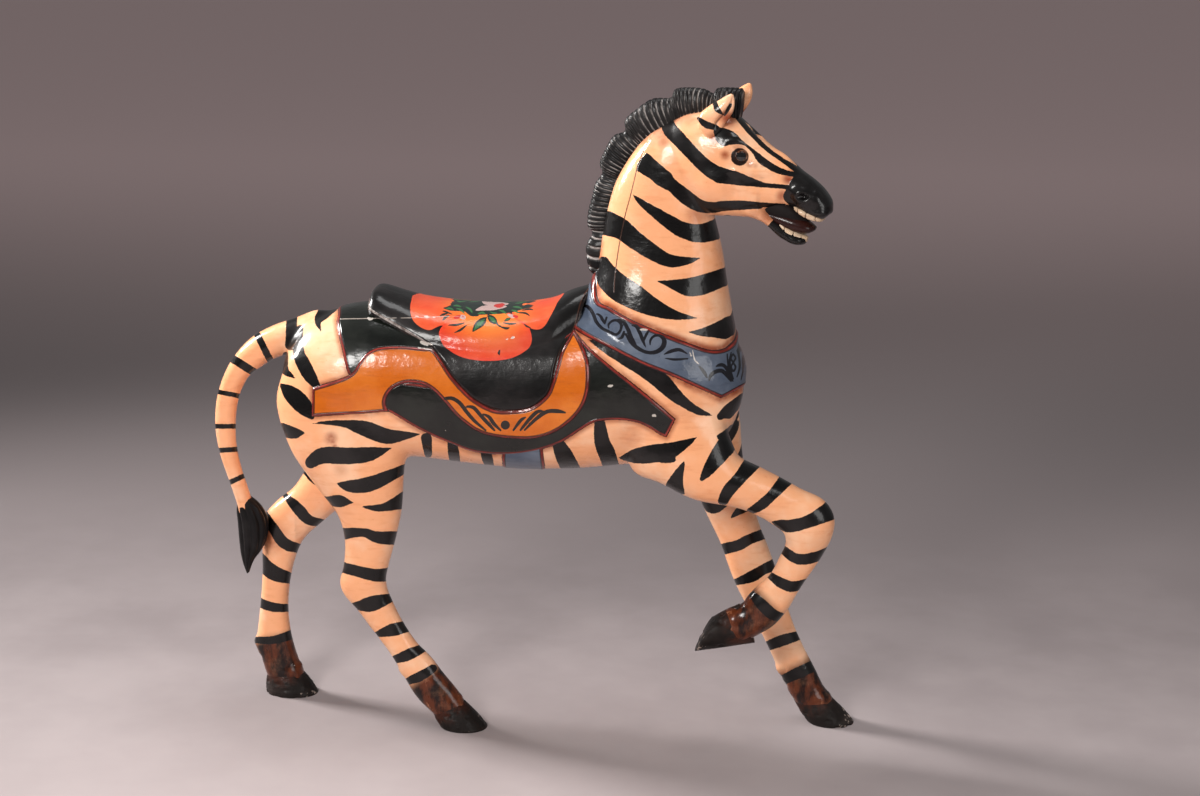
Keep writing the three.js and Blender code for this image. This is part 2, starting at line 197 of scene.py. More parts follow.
hindFar = [
    [-225, 600, -368, 596, 36, 55], [-200, 515, -389, 520, 48, 60], [-222, 434, -380, 452, 48, 61],
    [-268, 372, -372, 396, 40, 59], [-314, 326, -394, 352, 32, 56], [-352, 292, -424, 326, 27, 53],
    [-379, 266, -446, 298, 25, 51], [-394, 236, -449, 258, 22, 50], [-405, 195, -451, 200, 19, 50],
    [-410, 150, -456, 150, 18, 50], [-408, 110, -461, 112, 19, 50], [-402, 78, -465, 80, 22, 50],
    [-394, 52, -456, 54, 21, 50], [-388, 38, -451, 38, 23, 50], [-384, 22, -446, 22, 20, 50]]
foreFar = [
    [300, 565, 170, 545, 40, 44], [312, 495, 200, 475, 46, 50], [318, 432, 230, 415, 40, 53],
    [330, 375, 252, 362, 33, 53], [342, 335, 269, 326, 28, 52], [355, 300, 287, 289, 25, 51],
    [368, 268, 301, 250, 25, 50], [381, 232, 315, 217, 24, 50], [394, 190, 334, 181, 20, 50],
    [408, 152, 353, 146, 18, 50], [424, 118, 371, 109, 18, 50], [441, 86, 385, 79, 20, 50],
    [455, 58, 397, 52, 21, 50], [468, 42, 408, 36, 23, 50], [474, 26, 418, 20, 20, 50]]
foreNear = [
    [262, 575, 138, 505, 38, -46], [290, 520, 155, 436, 45, -51], [304, 486, 198, 417, 44, -54],
    [318, 460, 250, 394, 40, -57], [347, 446, 311, 384, 34, -57], [380, 430, 345, 372, 29, -56],
    [412, 413, 371, 357, 27, -55], [444, 398, 386, 345, 28, -54], [461, 373, 390, 331, 28, -54],
    [460, 344, 387, 317, 25, -53], [449, 317, 381, 304, 22, -52], [436, 293, 375, 289, 20, -52],
    [421, 268, 365, 272, 19, -52], [409, 246, 350, 257, 20, -52], [398, 224, 336, 241, 22, -52],
    [378, 197, 328, 228, 22, -52], [352, 178, 318, 222, 22, -52], [334, 168, 306, 218, 24, -52],
    [314, 164, 298, 210, 20, -52]]
# coronet front and back, sole front and back, y
hoofEdges = [
    [(-101, 42, -157, 22), (-67, 0, -142, 0), -50], [(-386, 37, -451, 34), (-364, 0, -450, 0), 50],
    [(470, 41, 406, 33), (505, 0, 431, 0), 50], [(334, 162, 310, 221), (256, 149, 284, 201), -52]]
tailRows = [
    [-300, 640, -330, 575, 26, 0], [-332, 655, -354, 586, 28, 0], [-371, 641, -385, 581, 27, 0],
    [-411, 625, -406, 574, 25, 0], [-442, 607, -428, 560, 23, 0], [-468, 580, -447, 545, 20, 0],
    [-487, 549, -460, 524, 18, 0], [-500, 513, -468, 500, 16, 0], [-505, 482, -472, 472, 15, 0],
    [-505, 450, -473, 440, 15, 0], [-499, 411, -469, 402, 15, 3], [-488, 370, -460, 362, 15, 8],
    [-478, 330, -452, 328, 15, 13], [-478, 316, -452, 316, 14, 14]]
tuftRows = [
    [-475, 340, -454, 342, 12, 12], [-480, 322, -440, 328, 18, 15], [-480, 298, -431, 304, 23, 19],
    [-479, 272, -433, 276, 23, 19], [-477, 250, -442, 254, 18, 17], [-473, 232, -455, 236, 10, 15],
    [-467, 214, -463, 216, 3, 14]]
seatRows = [
    [-249, 680, -249, 600, 40, 0], [-240, 694, -240, 590, 62, 0], [-204, 684, -204, 580, 74, 0],
    [-170, 675, -170, 575, 82, 0], [-109, 669, -109, 570, 86, 0], [-38, 669, -38, 570, 86, 0],
    [23, 678, 23, 575, 80, 0], [55, 694, 55, 590, 66, 0], [84, 704, 84, 600, 50, 0]]


def smoothstep(low, high, value):
    t = np.clip((value - low) / (high - low), 0, 1)
    return t * t * (3 - 2 * t)


def between(a, b, c, d, steps):
    # points of a smooth line from b towards c, led by the neighbours a and d
    made = []
    for t in np.arange(steps) / steps:
        bend = (2 * a - 5 * b + 4 * c - d) * t + (3 * (b - c) + d - a) * t * t
        made.append(b + 0.5 * t * (c - a + bend))
    return made


def spline(rows, steps):
    rows = np.array(rows, float)
    padded = np.vstack([rows[:1], rows, rows[-1:]])
    line = []
    for a, b, c, d in zip(padded, padded[1:], padded[2:], padded[3:]):
        line += between(a, b, c, d, steps)
    return np.array(line + [rows[-1]])


def turned(x, y, share):
    angle = headTurn * share
    reach = x - turnPivot
    return (turnPivot + reach * np.cos(angle) + y * np.sin(angle),
            y * np.cos(angle) - reach * np.sin(angle))


def unturned(x, y, share):
    angle = headTurn * share
    reach = x - turnPivot
    return (turnPivot + reach * np.cos(angle) - y * np.sin(angle),
            reach * np.sin(angle) + y * np.cos(angle))


def neckShare(rows):
    return smoothstep(turnLow, turnHigh, rows[:, 1])


def maneShare(rows):
    return smoothstep(turnLow, turnHigh, rows[:, 3] + 8)


def fullShare(rows):
    return np.ones(len(rows))


def rings(rows, sides, fullness=2.2, share=None, shape=None):
    # points of the rounded rings through the rows, in metres
    angle = 2 * np.pi * np.arange(sides) / sides
    along = np.sign(np.cos(angle)) * np.abs(np.cos(angle)) ** (2 / fullness)
    across = np.sign(np.sin(angle)) * np.abs(np.sin(angle)) ** (2 / fullness)
    ax, az, bx, bz, half, middle = (column[:, None] * unit for column in rows.T)
    x = (ax + bx + (ax - bx) * along) / 2
    z = (az + bz + (az - bz) * along) / 2
    y = middle + half * across
    if shape is not None:
        x, y, z = shape(x, y, z, angle)
    if share is not None:
        x, y = turned(x, y, share(rows)[:, None])
    return np.stack([x, y, z], -1)


def skinOf(stack):
    # closed mesh over a stack of rings: vertices and faces, facing outward
    count, sides, _ = stack.shape
    verts = np.vstack([stack.reshape(-1, 3), stack[0].mean(0), stack[-1].mean(0)])
    faces = []
    for r in range(count - 1):
        for k in range(sides):
            a, b = r * sides + k, r * sides + (k + 1) % sides
            faces.append((a, b, b + sides, a + sides))
    first, last = count * sides, (count - 1) * sides
    for k in range(sides):
        n = (k + 1) % sides
        faces.append((first, n, k))
        faces.append((first + 1, last + k, last + n))
    volume = 0.0
    for f in faces:
        for i in range(1, len(f) - 1):
            volume += np.dot(verts[f[0]], np.cross(verts[f[i]], verts[f[i + 1]]))
    if volume < 0:
        faces = [tuple(reversed(f)) for f in faces]
    return verts, faces


def loft(rows, sides=32, steps=6, fullness=2.2, share=None, shape=None):
    return skinOf(rings(spline(rows, steps), sides, fullness, share, shape))


def makeMesh(name, verts, faces):
    data = bpy.data.meshes.new(name)
    data.from_pydata([tuple(v) for v in verts], [], [tuple(int(i) for i in f) for f in faces])
    data.update()
    obj = bpy.data.objects.new(name, data)
    bpy.context.collection.objects.link(obj)
    data.shade_smooth()
    return obj


def joined(parts):
    verts, faces, start = [], [], 0
    for v, f in parts:
        verts.append(v)
        faces += [tuple(i + start for i in face) for face in f]
        start += len(v)
    return np.vstack(verts), faces


def points(obj):
    out = np.empty(len(obj.data.vertices) * 3, np.float32)
    obj.data.vertices.foreach_get("co", out)
    return out.reshape(-1, 3).astype(float)


def setPoints(obj, values):
    obj.data.vertices.foreach_set("co", values.astype(np.float32).ravel())
    obj.data.update()


def normals(obj):
    out = np.empty(len(obj.data.vertices) * 3, np.float32)
    obj.data.vertex_normals.foreach_get("vector", out)
    return out.reshape(-1, 3).astype(float)


def edges(obj):
    out = np.empty(len(obj.data.edges) * 2, np.int32)
    obj.data.edges.foreach_get("vertices", out)
    return out.reshape(-1, 2)


def remeshed(name, verts, faces, size):
    rough = makeMesh(name + "Rough", verts, faces)
    modifier = rough.modifiers.new("merge", "REMESH")
    modifier.mode = "VOXEL"
    modifier.voxel_size = size
    modifier.use_smooth_shade = True
    shown = rough.evaluated_get(bpy.context.evaluated_depsgraph_get())
    data = bpy.data.meshes.new_from_object(shown)
    obj = bpy.data.objects.new(name, data)
    data.name = name
    bpy.context.collection.objects.link(obj)
    bpy.data.objects.remove(rough)
    return obj


def neighbours(obj):
    # both ends of every edge, and how many neighbours each vertex has
    a, b = edges(obj).T
    count = len(obj.data.vertices)
    return a, b, np.maximum(np.bincount(a, minlength=count) + np.bincount(b, minlength=count), 1)


def neighbourMean(values, ends):
    a, b, share = ends
    return (np.bincount(a, values[b], len(values)) + np.bincount(b, values[a], len(values))) / share


def relax(obj, rounds, weight=None):
    # evens the surface: each vertex goes half the way to the middle of its neighbours
    ends, co = neighbours(obj), points(obj)
    force = 0.5 if weight is None else 0.5 * weight[:, None]
    for _ in range(rounds):
        middle = np.stack([neighbourMean(co[:, axis], ends) for axis in range(3)], 1)
        co = co + force * (middle - co)
    setPoints(obj, co)


def brush(co, normal, centre, radius, depth):
    # raises (or sinks) the skin in a soft oval patch
    away = (co - np.array(centre) * unit) / (np.array(radius) * unit)
    reach = np.clip(1 - (away ** 2).sum(1), 0, 1)
    return normal * (depth * 0.001 * reach ** 2)[:, None]


# Readings from the photograph: each part of it was read on an enlarged sheet,
# whose corner and scale are given here.
sheets = {
    "head": (720, 80, 8.711), "neck": (560, 60, 6.031), "tack": (280, 270, 3.2667),
    "front": (660, 380, 4.3556), "rear": (200, 290, 3.6465), "chest": (680, 310, 10.0),
    "flower": (380, 270, 6.533), "shoulder": (560, 270, 7.127)}


def onSheet(name, rows):
    # readings to pixels of the photograph; a third value is a width
    left, top, scale = sheets[name]
    rows = np.array(rows, float) / scale
    rows[:, 0] += left
    rows[:, 1] += top
    return rows


def curve(rows, closed=False, steps=5):
    # smooth line through the readings; a reading given twice stays a corner
    rows = np.array(rows, float)
    padded = np.vstack([rows[-1:], rows, rows[:2]]) if closed else np.vstack([rows[:1], rows, rows[-1:]])
    line = []
    for a, b, c, d in zip(padded, padded[1:], padded[2:], padded[3:]):
        if not np.allclose(b[:2], c[:2]):
            line += between(a, b, c, d, steps)
    return np.array(line if closed else line + [rows[-1]])


def lineDistance(place, a, b, radii=None):
    # distance of each place from the piece a-b, less the width there
    run = b - a
    length = max(float(run @ run), 1e-9)
    t = np.clip((place - a) @ run / length, 0, 1)
    gap = np.linalg.norm(place - a - t[:, None] * run, axis=1)
    return gap if radii is None else gap - (radii[0] + t * (radii[1] - radii[0]))


strokeReach = 45      # pixels round a stroke where it is looked for


def strokeField(place, strokes, far=12.0):
    # how deep each place lies inside the brush strokes, in pixels
    best = np.full(len(place), far)
    for rows in strokes:
        line = curve(rows)
        low, high = line[:, :2].min(0) - strokeReach, line[:, :2].max(0) + strokeReach
        near = np.where(((place > low) & (place < high)).all(1))[0]
        if not len(near):
            continue
        sub, value = place[near], best[near]
        for p, q in zip(line, line[1:]):
            gap = lineDistance(sub, p[:2], q[:2], (max(p[2], 0) / 2, max(q[2], 0) / 2))
            value = np.minimum(value, gap)
        best[near] = value
    return -best


def areaField(place, outline, far=40.0):
    # signed distance inside a closed outline, in pixels
    best = np.full(len(place), far)
    low, high = outline.min(0) - far, outline.max(0) + far
    near = np.where(((place > low) & (place < high)).all(1))[0]
    sub, value = place[near], best[near]
    inside = np.zeros(len(sub), bool)
    for a, b in zip(outline, np.roll(outline, -1, 0)):
        value = np.minimum(value, lineDistance(sub, a, b))
        if a[1] != b[1]:
            crosses = (sub[:, 1] < a[1]) != (sub[:, 1] < b[1])
            inside ^= crosses & (sub[:, 0] < a[0] + (sub[:, 1] - a[1]) / (b[1] - a[1]) * (b[0] - a[0]))
    best = -best
    best[near] = np.where(inside, value, -value)
    return best


def project(co):
    away = co - eye
    depth = -(away @ back)
    return sheetMiddle + focal * np.stack([away @ right, -(away @ upward)], 1) / depth[:, None]


def headShare(co):
    x, z = co[:, 0] / unit, co[:, 2] / unit
    lifted = smoothstep(turnLow, turnHigh, z + 0.35 * (x - 110))
    return np.maximum(lifted, smoothstep(225, 260, x) * smoothstep(770, 800, z))     # the whole jaw turns


def nearSide(co, middle=0.0):
    # the far half folded over to the near half, about the head's own middle
    share = headShare(co)
    x, y = unturned(co[:, 0], co[:, 1], share)
    y = np.where(y > middle, 2 * middle - y, y)
    x, y = turned(x, y, share)
    return np.stack([x, y, co[:, 2]], 1)


chestFold = -0.035        # metres off the middle, where the painting of the chest has its own
tailEdge = -390 * unit    # the tail behind this isn't folded


def onPhoto(co):
    x, z = co[:, 0], co[:, 2]
    middle = chestFold * smoothstep(0.30, 0.46, x) * smoothstep(1.06, 0.98, z)
    folded = nearSide(co, middle)
    folded[x < tailEdge] = co[x < tailEdge]
    return project(folded)


def store(obj, name, values):
    layer = obj.data.attributes.get(name) or obj.data.attributes.new(name, "FLOAT", "POINT")
    layer.data.foreach_set("value", values.astype(np.float32))


tackLines = {
    "skirt": [(105, 478), (105, 478), (108, 385), (108, 385), (225, 345), (262, 300), (290, 270), (330, 255),
              (400, 252), (465, 258), (500, 262), (530, 300), (560, 345), (600, 390), (640, 425), (700, 455),
              (760, 458), (820, 448), (870, 410), (890, 370), (905, 320), (920, 270), (950, 215), (960, 195),
              (960, 195), (985, 240), (1005, 290), (1010, 340), (1005, 400), (985, 450), (950, 490), (900, 525),
              (840, 545), (780, 548), (700, 540), (640, 520), (580, 475), (540, 430), (500, 390), (460, 370),
              (410, 368), (370, 385), (350, 410), (345, 435), (355, 460), (355, 460)],
    "cloth": [(325, 430), (338, 461), (338, 461), (358, 462), (390, 480), (440, 510), (500, 540), (560, 565),
              (620, 588), (680, 598), (740, 600), (800, 595), (860, 582), (920, 560), (975, 525), (1020, 498),
              (1060, 490), (1110, 488), (1160, 495), (1200, 510), (1240, 535), (1262, 545), (1262, 545),
              (1290, 487), (1290, 487),
              (1230, 435), (1150, 370), (1080, 315), (1010, 255), (962, 200), (962, 200), (900, 240),
              (700, 400), (500, 330), (400, 340), (340, 380)],
    "rear": [(196, -260), (192, 118), (187, 170), (195, 220), (205, 260), (218, 320), (228, 345), (228, 345),
             (700, 345), (700, -260), (700, -260), (196, -260)],
    "seat": [(293, -260), (293, 95), (288, 125), (320, 145), (380, 178), (440, 215), (480, 240), (500, 262),
             (530, 300), (560, 345), (600, 390), (640, 425), (700, 452), (760, 458), (820, 448), (870, 412),
             (890, 370), (900, 320), (915, 270), (940, 222), (960, 190), (985, 100), (1012, 58), (1012, 58),
             (1012, -260), (1012, -260), (293, -260)],
    "petalLeft": [(462, 60), (428, 105), (430, 155), (455, 185), (490, 197), (528, 182), (590, 180), (640, 60)],
    "petalBig": [(525, 192), (530, 235), (560, 270), (610, 292), (680, 300), (750, 293), (800, 270),
                 (822, 235), (818, 200), (800, 175), (720, 130), (600, 130)],
    "petalRight": [(770, 60), (760, 150), (800, 180), (832, 195), (860, 188), (885, 150), (905, 110), (925, 60)],
    "collar": [(1010, -90), (1010, -90), (1036, -90), (1036, -90), (1034, 85), (1080, 125), (1150, 165),
               (1230, 200), (1320, 235), (1400, 262), (1450, 258), (1490, 225), (1560, 170), (1560, 170),
               (1560, 350), (1560, 350), (1500, 385),
               (1440, 417), (1440, 417), (1370, 385), (1280, 345), (1180, 305), (1080, 255), (1000, 215),
               (960, 190), (960, 190), (985, 100)],
    "girth": [(735, 575), (735, 680), (735, 680), (868, 680), (868, 680), (855, 560), (855, 560)]}
notHere = -40                          # depth given where a shape can't be
backFrom, backTo = -335, 240           # the saddle and its cloths lie between these
girthFrom, girthTo, girthTop = -60, 45, 500
collarLow = 400
tackOutline = {name: curve(onSheet("tack", rows), True) for name, rows in tackLines.items()}


def tackFields(co):
    place = onPhoto(co)
    found = {name: areaField(place, outline) for name, outline in tackOutline.items()}
    x, z = co[:, 0] / unit, co[:, 2] / unit
    # the tack's upper parts cross the back; nothing of it lies elsewhere on the same sight lines
    for name in ("rear", "seat", "skirt", "cloth"):
        found[name] = np.where((x < backFrom) | (x > backTo), notHere, found[name])
    found["collar"] = np.where(z < collarLow, notHere, found["collar"])
    under = np.minimum(found["girth"], (girthTop - z) * 0.6)
    found["girth"] = np.where((x < girthFrom) | (x > girthTo), notHere, under)
    return found


# black strokes of the coat: centre and width along each, as read
nearStrokes = {
    "neck": [
        [(650, 380, 75), (665, 420, 90), (720, 480, 88), (780, 545, 85), (855, 622, 86), (930, 678, 92),
         (1000, 702, 88), (1060, 713, 82), (1130, 731, 60), (1206, 748, 36)],
        [(560, 655, 95), (610, 695, 92), (665, 745, 78), (750, 820, 90), (840, 878, 78),
         (920, 890, 66), (1000, 882, 56), (1206, 880, 36)],
        [(437, 808, 0), (480, 850, 34), (560, 910, 60), (640, 965, 80), (740, 1025, 98), (850, 1045, 112),
         (950, 1020, 125), (1010, 1000, 130)],
        [(285, 985, 150), (370, 1020, 125), (450, 1085, 110), (560, 1160, 95), (660, 1210, 78),
         (760, 1212, 50), (850, 1193, 4)],
        [(262, 1215, 60), (285, 1300, 140), (350, 1370, 160), (450, 1430, 150), (560, 1490, 110),
         (700, 1540, 55), (840, 1558, 0)],
        [(835, 352, 20), (880, 388, 42), (940, 408, 36)], [(935, 262, 30), (950, 300, 34), (985, 330, 8)]],
    "head": [
        [(150, 312, 54), (250, 440, 46), (400, 592, 40), (550, 702, 40), (700, 800, 60)],
        [(0, 828, 146), (60, 840, 128), (120, 856, 98), (200, 880, 60), (350, 912, 44), (600, 933, 36)],
        [(0, 1100, 92), (150, 1088, 78), (300, 1084, 50), (450, 1092, 40), (560, 1090, 28)],
        [(76, 230, 0), (92, 215, 26), (60, 270, 30), (40, 310, 10)]],
    "tack": [
        [(1108, 614, 4), (1160, 608, 46), (1220, 600, 60), (1280, 588, 50), (1335, 562, 22), (1364, 544, 0)],
        [(478, 550, 36), (484, 600, 26)], [(560, 560, 26), (566, 590, 36), (572, 630, 34)],
        [(668, 590, 26), (676, 610, 36), (686, 645, 28)], [(905, 560, 34), (925, 600, 56), (950, 650, 60)],
        [(1045, 505, 38), (1052, 560, 50), (1068, 600, 56), (1085, 650, 50)]],
    "front": [
        [(262, 160, 30), (300, 130, 50), (350, 92, 50), (390, 60, 40)],
        [(250, 245, 10), (300, 235, 50), (345, 208, 60), (390, 185, 60)],
        [(285, 290, 85), (240, 350, 68), (205, 400, 45), (180, 435, 14)],
        [(410, 350, 75), (345, 430, 56), (300, 480, 55), (275, 525, 45)],
        [(560, 420, 65), (490, 500, 46), (440, 545, 45), (392, 572, 30)],
        [(492, 620, 10), (530, 630, 45), (570, 636, 56), (650, 615, 56), (760, 560, 90)],
        [(540, 742, 38), (600, 780, 46), (680, 770, 46), (745, 735, 30)],
        [(478, 850, 30), (530, 885, 46), (580, 900, 46), (640, 880, 30)],
        [(395, 925, 24), (440, 975, 50), (490, 1020, 50), (545, 1038, 36)]],
    "rear": [
        [(335, 100, 40), (330, 200, 40)], [(210, 165, 25), (255, 255, 25)], [(110, 245, 30), (205, 305, 30)],
        [(60, 370, 17), (160, 390, 18)], [(45, 497, 18), (140, 497, 18)], [(55, 586, 18), (145, 580, 18)],
        [(95, 708, 19), (172, 672, 17)],
        [(480, 50, 60), (450, 85, 46), (430, 115, 24), (445, 158, 0)],
        [(365, 140, 24), (358, 185, 34), (362, 235, 44), (380, 275, 52), (405, 320, 44), (432, 355, 20)],
        [(312, 235, 20), (308, 290, 30), (345, 320, 6)],
        [(296, 345, 10), (325, 372, 50), (355, 400, 66), (385, 432, 56), (408, 462, 20)],
        [(300, 510, 50), (345, 522, 40), (384, 520, 0)],
        [(405, 487, 0), (460, 484, 14), (530, 488, 28), (600, 505, 56), (680, 533, 56), (750, 530, 30),
         (805, 525, 0)],
        [(405, 628, 44), (450, 603, 60), (540, 605, 60), (620, 598, 52), (700, 576, 0)],
        [(497, 705, 0), (540, 715, 40), (600, 712, 54), (660, 692, 50), (760, 645, 30)],
        [(592, 790, 4), (640, 795, 24), (680, 790, 32), (760, 762, 70)],
        [(435, 752, 4), (470, 768, 30), (510, 770, 44), (560, 776, 0)],
        [(520, 890, 44), (560, 885, 36), (600, 885, 32), (650, 902, 44), (730, 905, 52)],
        [(508, 1008, 40), (560, 1022, 40), (640, 1040, 46), (695, 1036, 50)],
        [(548, 1150, 12), (590, 1150, 40), (630, 1143, 56), (710, 1118, 25)],
        [(645, 1255, 20), (700, 1240, 46), (762, 1225, 40)],
        [(705, 1350, 28), (760, 1330, 42), (815, 1305, 30)],
        [(762, 1425, 28), (800, 1410, 36), (850, 1380, 30)]],
    "shoulder": [[(198, 490, 8), (330, 565, 60), (480, 645, 92), (620, 722, 112), (720, 792, 124), (800, 872, 104),
                  (900, 955, 70), (1000, 1012, 48), (1098, 1038, 0)]]}
farStrokes = {
    "rear": [
        [(380, 650, 26), (420, 690, 36), (465, 718, 12)],
        [(312, 750, 20), (360, 800, 42), (400, 840, 36), (470, 850, 20)],
        [(232, 815, 30), (270, 872, 38), (310, 925, 42), (385, 948, 30)],
        [(218, 975, 38), (262, 1028, 56), (345, 1056, 36)],
        [(212, 1136, 34), (262, 1156, 34), (335, 1160, 28)],
        [(204, 1276, 24), (270, 1276, 30), (348, 1252, 36)]],
    "front": [
        [(180, 525, 6), (230, 555, 56), (300, 528, 20)], [(305, 605, 0), (345, 570, 34), (400, 555, 20)],
        [(260, 740, 50), (340, 720, 48), (390, 694, 46), (460, 668, 46)],
        [(318, 884, 24), (400, 856, 50), (450, 826, 46), (520, 798, 60)],
        [(465, 1160, 42), (540, 1132, 50), (620, 1108, 36)],
        [(530, 1310, 44), (600, 1276, 50), (685, 1238, 50)]]}
nearAreas = {
    "neck": [[(522, 556), (522, 556), (560, 588), (620, 645), (680, 700), (680, 790), (600, 762), (530, 708),
              (462, 668), (462, 668), (470, 620)]],
    "shoulder": [
        [(680, 78), (680, 78), (780, 72), (950, 50), (1060, 18), (1300, -40), (1300, 90), (1195, 110),
         (1060, 165), (980, 186), (900, 186), (820, 150), (750, 110)],
        [(908, 441), (908, 441), (1000, 420), (1100, 378), (1195, 330), (1320, 300), (1320, 440), (1235, 466),
         (1180, 492), (1100, 482), (1000, 470)]],
    "head": [
        [(-60, 390), (0, 412), (70, 428), (130, 458), (200, 530), (300, 606), (420, 700), (540, 770), (720, 820),
         (720, 820), (720, 860), (620, 842), (500, 815), (400, 765), (330, 712), (290, 650), (250, 602),
         (200, 568), (110, 563), (40, 577), (0, 565), (-40, 510)],
        [(760, 760), (700, 805), (645, 838), (618, 875), (600, 915), (572, 960), (552, 1000), (560, 1042),
         (600, 1090), (640, 1150), (640, 1150), (750, 1192), (800, 1218), (900, 1260), (1100, 1260),
         (1100, 700), (760, 700)],
        [(425, 1262), (470, 1205), (455, 1165), (520, 1112), (580, 1095), (640, 1150), (760, 1230), (900, 1300),
         (900, 1500), (600, 1500), (430, 1300)]],
    "chest": [
        [(400, 1060), (450, 970), (510, 910), (625, 870), (700, 900), (620, 950), (530, 1060), (480, 1090)],
        [(365, 1265), (470, 1220), (560, 1110), (640, 1180), (590, 1260), (450, 1335)]],
    "front": [[(105, 352), (20, 472), (108, 500), (108, 500), (100, 430)],
              [(0, 300), (0, 300), (-20, 340), (10, 362), (70, 350), (20, 300)]]}

# brown airbrushed places: centre, reach and strength
blushes = {
    "neck": [(690, 340, 90, 0.8), (600, 420, 100, 0.7), (520, 470, 90, 0.5), (760, 330, 90, 0.5),
             (1010, 350, 60, 1.0), (930, 470, 50, 0.8), (995, 575, 36, 0.9), (830, 940, 90, 0.5),
             (1180, 930, 60, 0.5), (250, 1250, 60, 0.5), (200, 1370, 50, 0.8), (620, 490, 50, 0.6)],
    "head": [(80, 350, 90, 0.9), (700, 790, 110, 1.0), (600, 860, 70, 1.0), (545, 1010, 70, 0.8),
             (420, 1190, 110, 0.8), (262, 730, 44, 0.6), (305, 750, 30, 0.4), (60, 650, 60, 0.25),
             (165, 590, 60, 0.5), (240, 60, 40, 0.5), (500, 1110, 40, 0.9), (330, 440, 60, 0.6)],
    "rear": [(258, 900, 70, 0.8), (478, 535, 13, 1.0), (483, 552, 13, 1.0), (490, 570, 12, 0.9), (500, 585, 10, 0.6)],
    "tack": [(165, 550, 26, 0.9), (1140, 540, 50, 0.3), (200, 650, 30, 0.3)]}


def farLegShare(co):
    # 1 on the legs of the far side, 0 on the tail
    x, y, z = co.T / unit
    share = smoothstep(440, 400, z) * smoothstep(-12, 12, y) * (x > -440)
    share = share + (z < 400) * (y > 0.02 / unit) * (x < -440)
    return np.where(x < -468, 0, np.clip(share, 0, 1))


def paintFields(co, farLegs):
    # depth inside the black paint and strength of the brown shading, at each vertex
    place, straight = onPhoto(co), project(co)
    stripe = np.full(len(co), -12.0)
    for name, strokes in nearStrokes.items():
        stripe = np.maximum(stripe, strokeField(place, [onSheet(name, rows) for rows in strokes]))
    for name, areas in nearAreas.items():
        for rows in areas:
            stripe = np.maximum(stripe, areaField(place, curve(onSheet(name, rows), True), 12.0))
    if farLegs:
        other = np.full(len(co), -12.0)
        for name, strokes in farStrokes.items():
            other = np.maximum(other, strokeField(straight, [onSheet(name, rows) for rows in strokes]))
        share = farLegShare(co)
        stripe = stripe * (1 - share) + other * share
    blush = np.zeros(len(co))
    for name, spots in blushes.items():
        left, top, scale = sheets[name]
        for x, y, reach, strength in spots:
            gap = np.hypot(place[:, 0] - left - x / scale, place[:, 1] - top - y / scale) / (reach / scale)
            blush = np.maximum(blush, strength * smoothstep(1.25, 0.1, gap))
    return stripe, blush


sharpestBend = 40     # counted as a full crease


def hollows(obj, rounds=3):
    # positive in creases, negative on ridges
    ends, co, normal = neighbours(obj), points(obj), normals(obj)
    a, b, _ = ends
    bend, span = np.zeros(len(co)), np.zeros(len(co))
    for axis in range(3):
        bend += (neighbourMean(co[:, axis], ends) - co[:, axis]) * normal[:, axis]
        span += np.bincount(a, (co[b, axis] - co[a, axis]) ** 2, len(co))
    bend /= max(float(np.median(span[span > 0])), 1e-9)
    for _ in range(rounds):
        bend = 0.5 * bend + 0.5 * neighbourMean(bend, ends)
    return np.clip(bend / sharpestBend, -1, 1)


def middleOf(edge, y):
    frontX, frontZ, backX, backZ = edge
    return np.array([(frontX + backX) / 2, y, (frontZ + backZ) / 2]) * unit


def nearHoofTop(co, far, close):
    # 0 further than far from the top of every hoof, 1 closer than close
    best = np.zeros(len(co))
    for top, _, y in hoofEdges:
        best = np.maximum(best, smoothstep(far, close, np.linalg.norm(co - middleOf(top, y), axis=1)))
    return best


eyeSpot = onSheet("head", [(172, 670)])[0]
neckCrack = [(525, 505), (470, 640), (430, 800), (390, 950), (360, 1100), (335, 1270), (325, 1400)]
headOnly = 60             # pixels added to the eye's distance on the body
# brown glaze along the tack: strength, depths where it starts and is full, and where it is cut off
glazing = {"tack": (0.7, -6.0, -1.0, -8), "collar": (0.95, -8.5, -2.0, -10)}


def glazed(depth, strength, start, full, cut):
    return strength * smoothstep(start, full, depth) * (depth > cut)


def paintCoat(obj, farLegs):
    co = points(obj)
    stripe, blush = paintFields(co, farLegs)
    tack = tackFields(co)
    outside = np.maximum.reduce([tack[k] for k in ("skirt", "cloth", "rear", "collar")])
    blush = np.maximum.reduce([
        blush, glazed(outside, *glazing["tack"]), glazed(tack["collar"], *glazing["collar"])])
    store(obj, "stripe", stripe)
    store(obj, "blush", blush)
    store(obj, "pastern", nearHoofTop(co, 80 * unit, 60 * unit))
    store(obj, "hollow", hollows(obj))
    store(obj, "eyeGap", np.hypot(*(onPhoto(co) - eyeSpot).T) + headOnly * (co[:, 0] < 200 * unit))
    store(obj, "crack", lineGap(onPhoto(co), curve(onSheet("neck", neckCrack))))


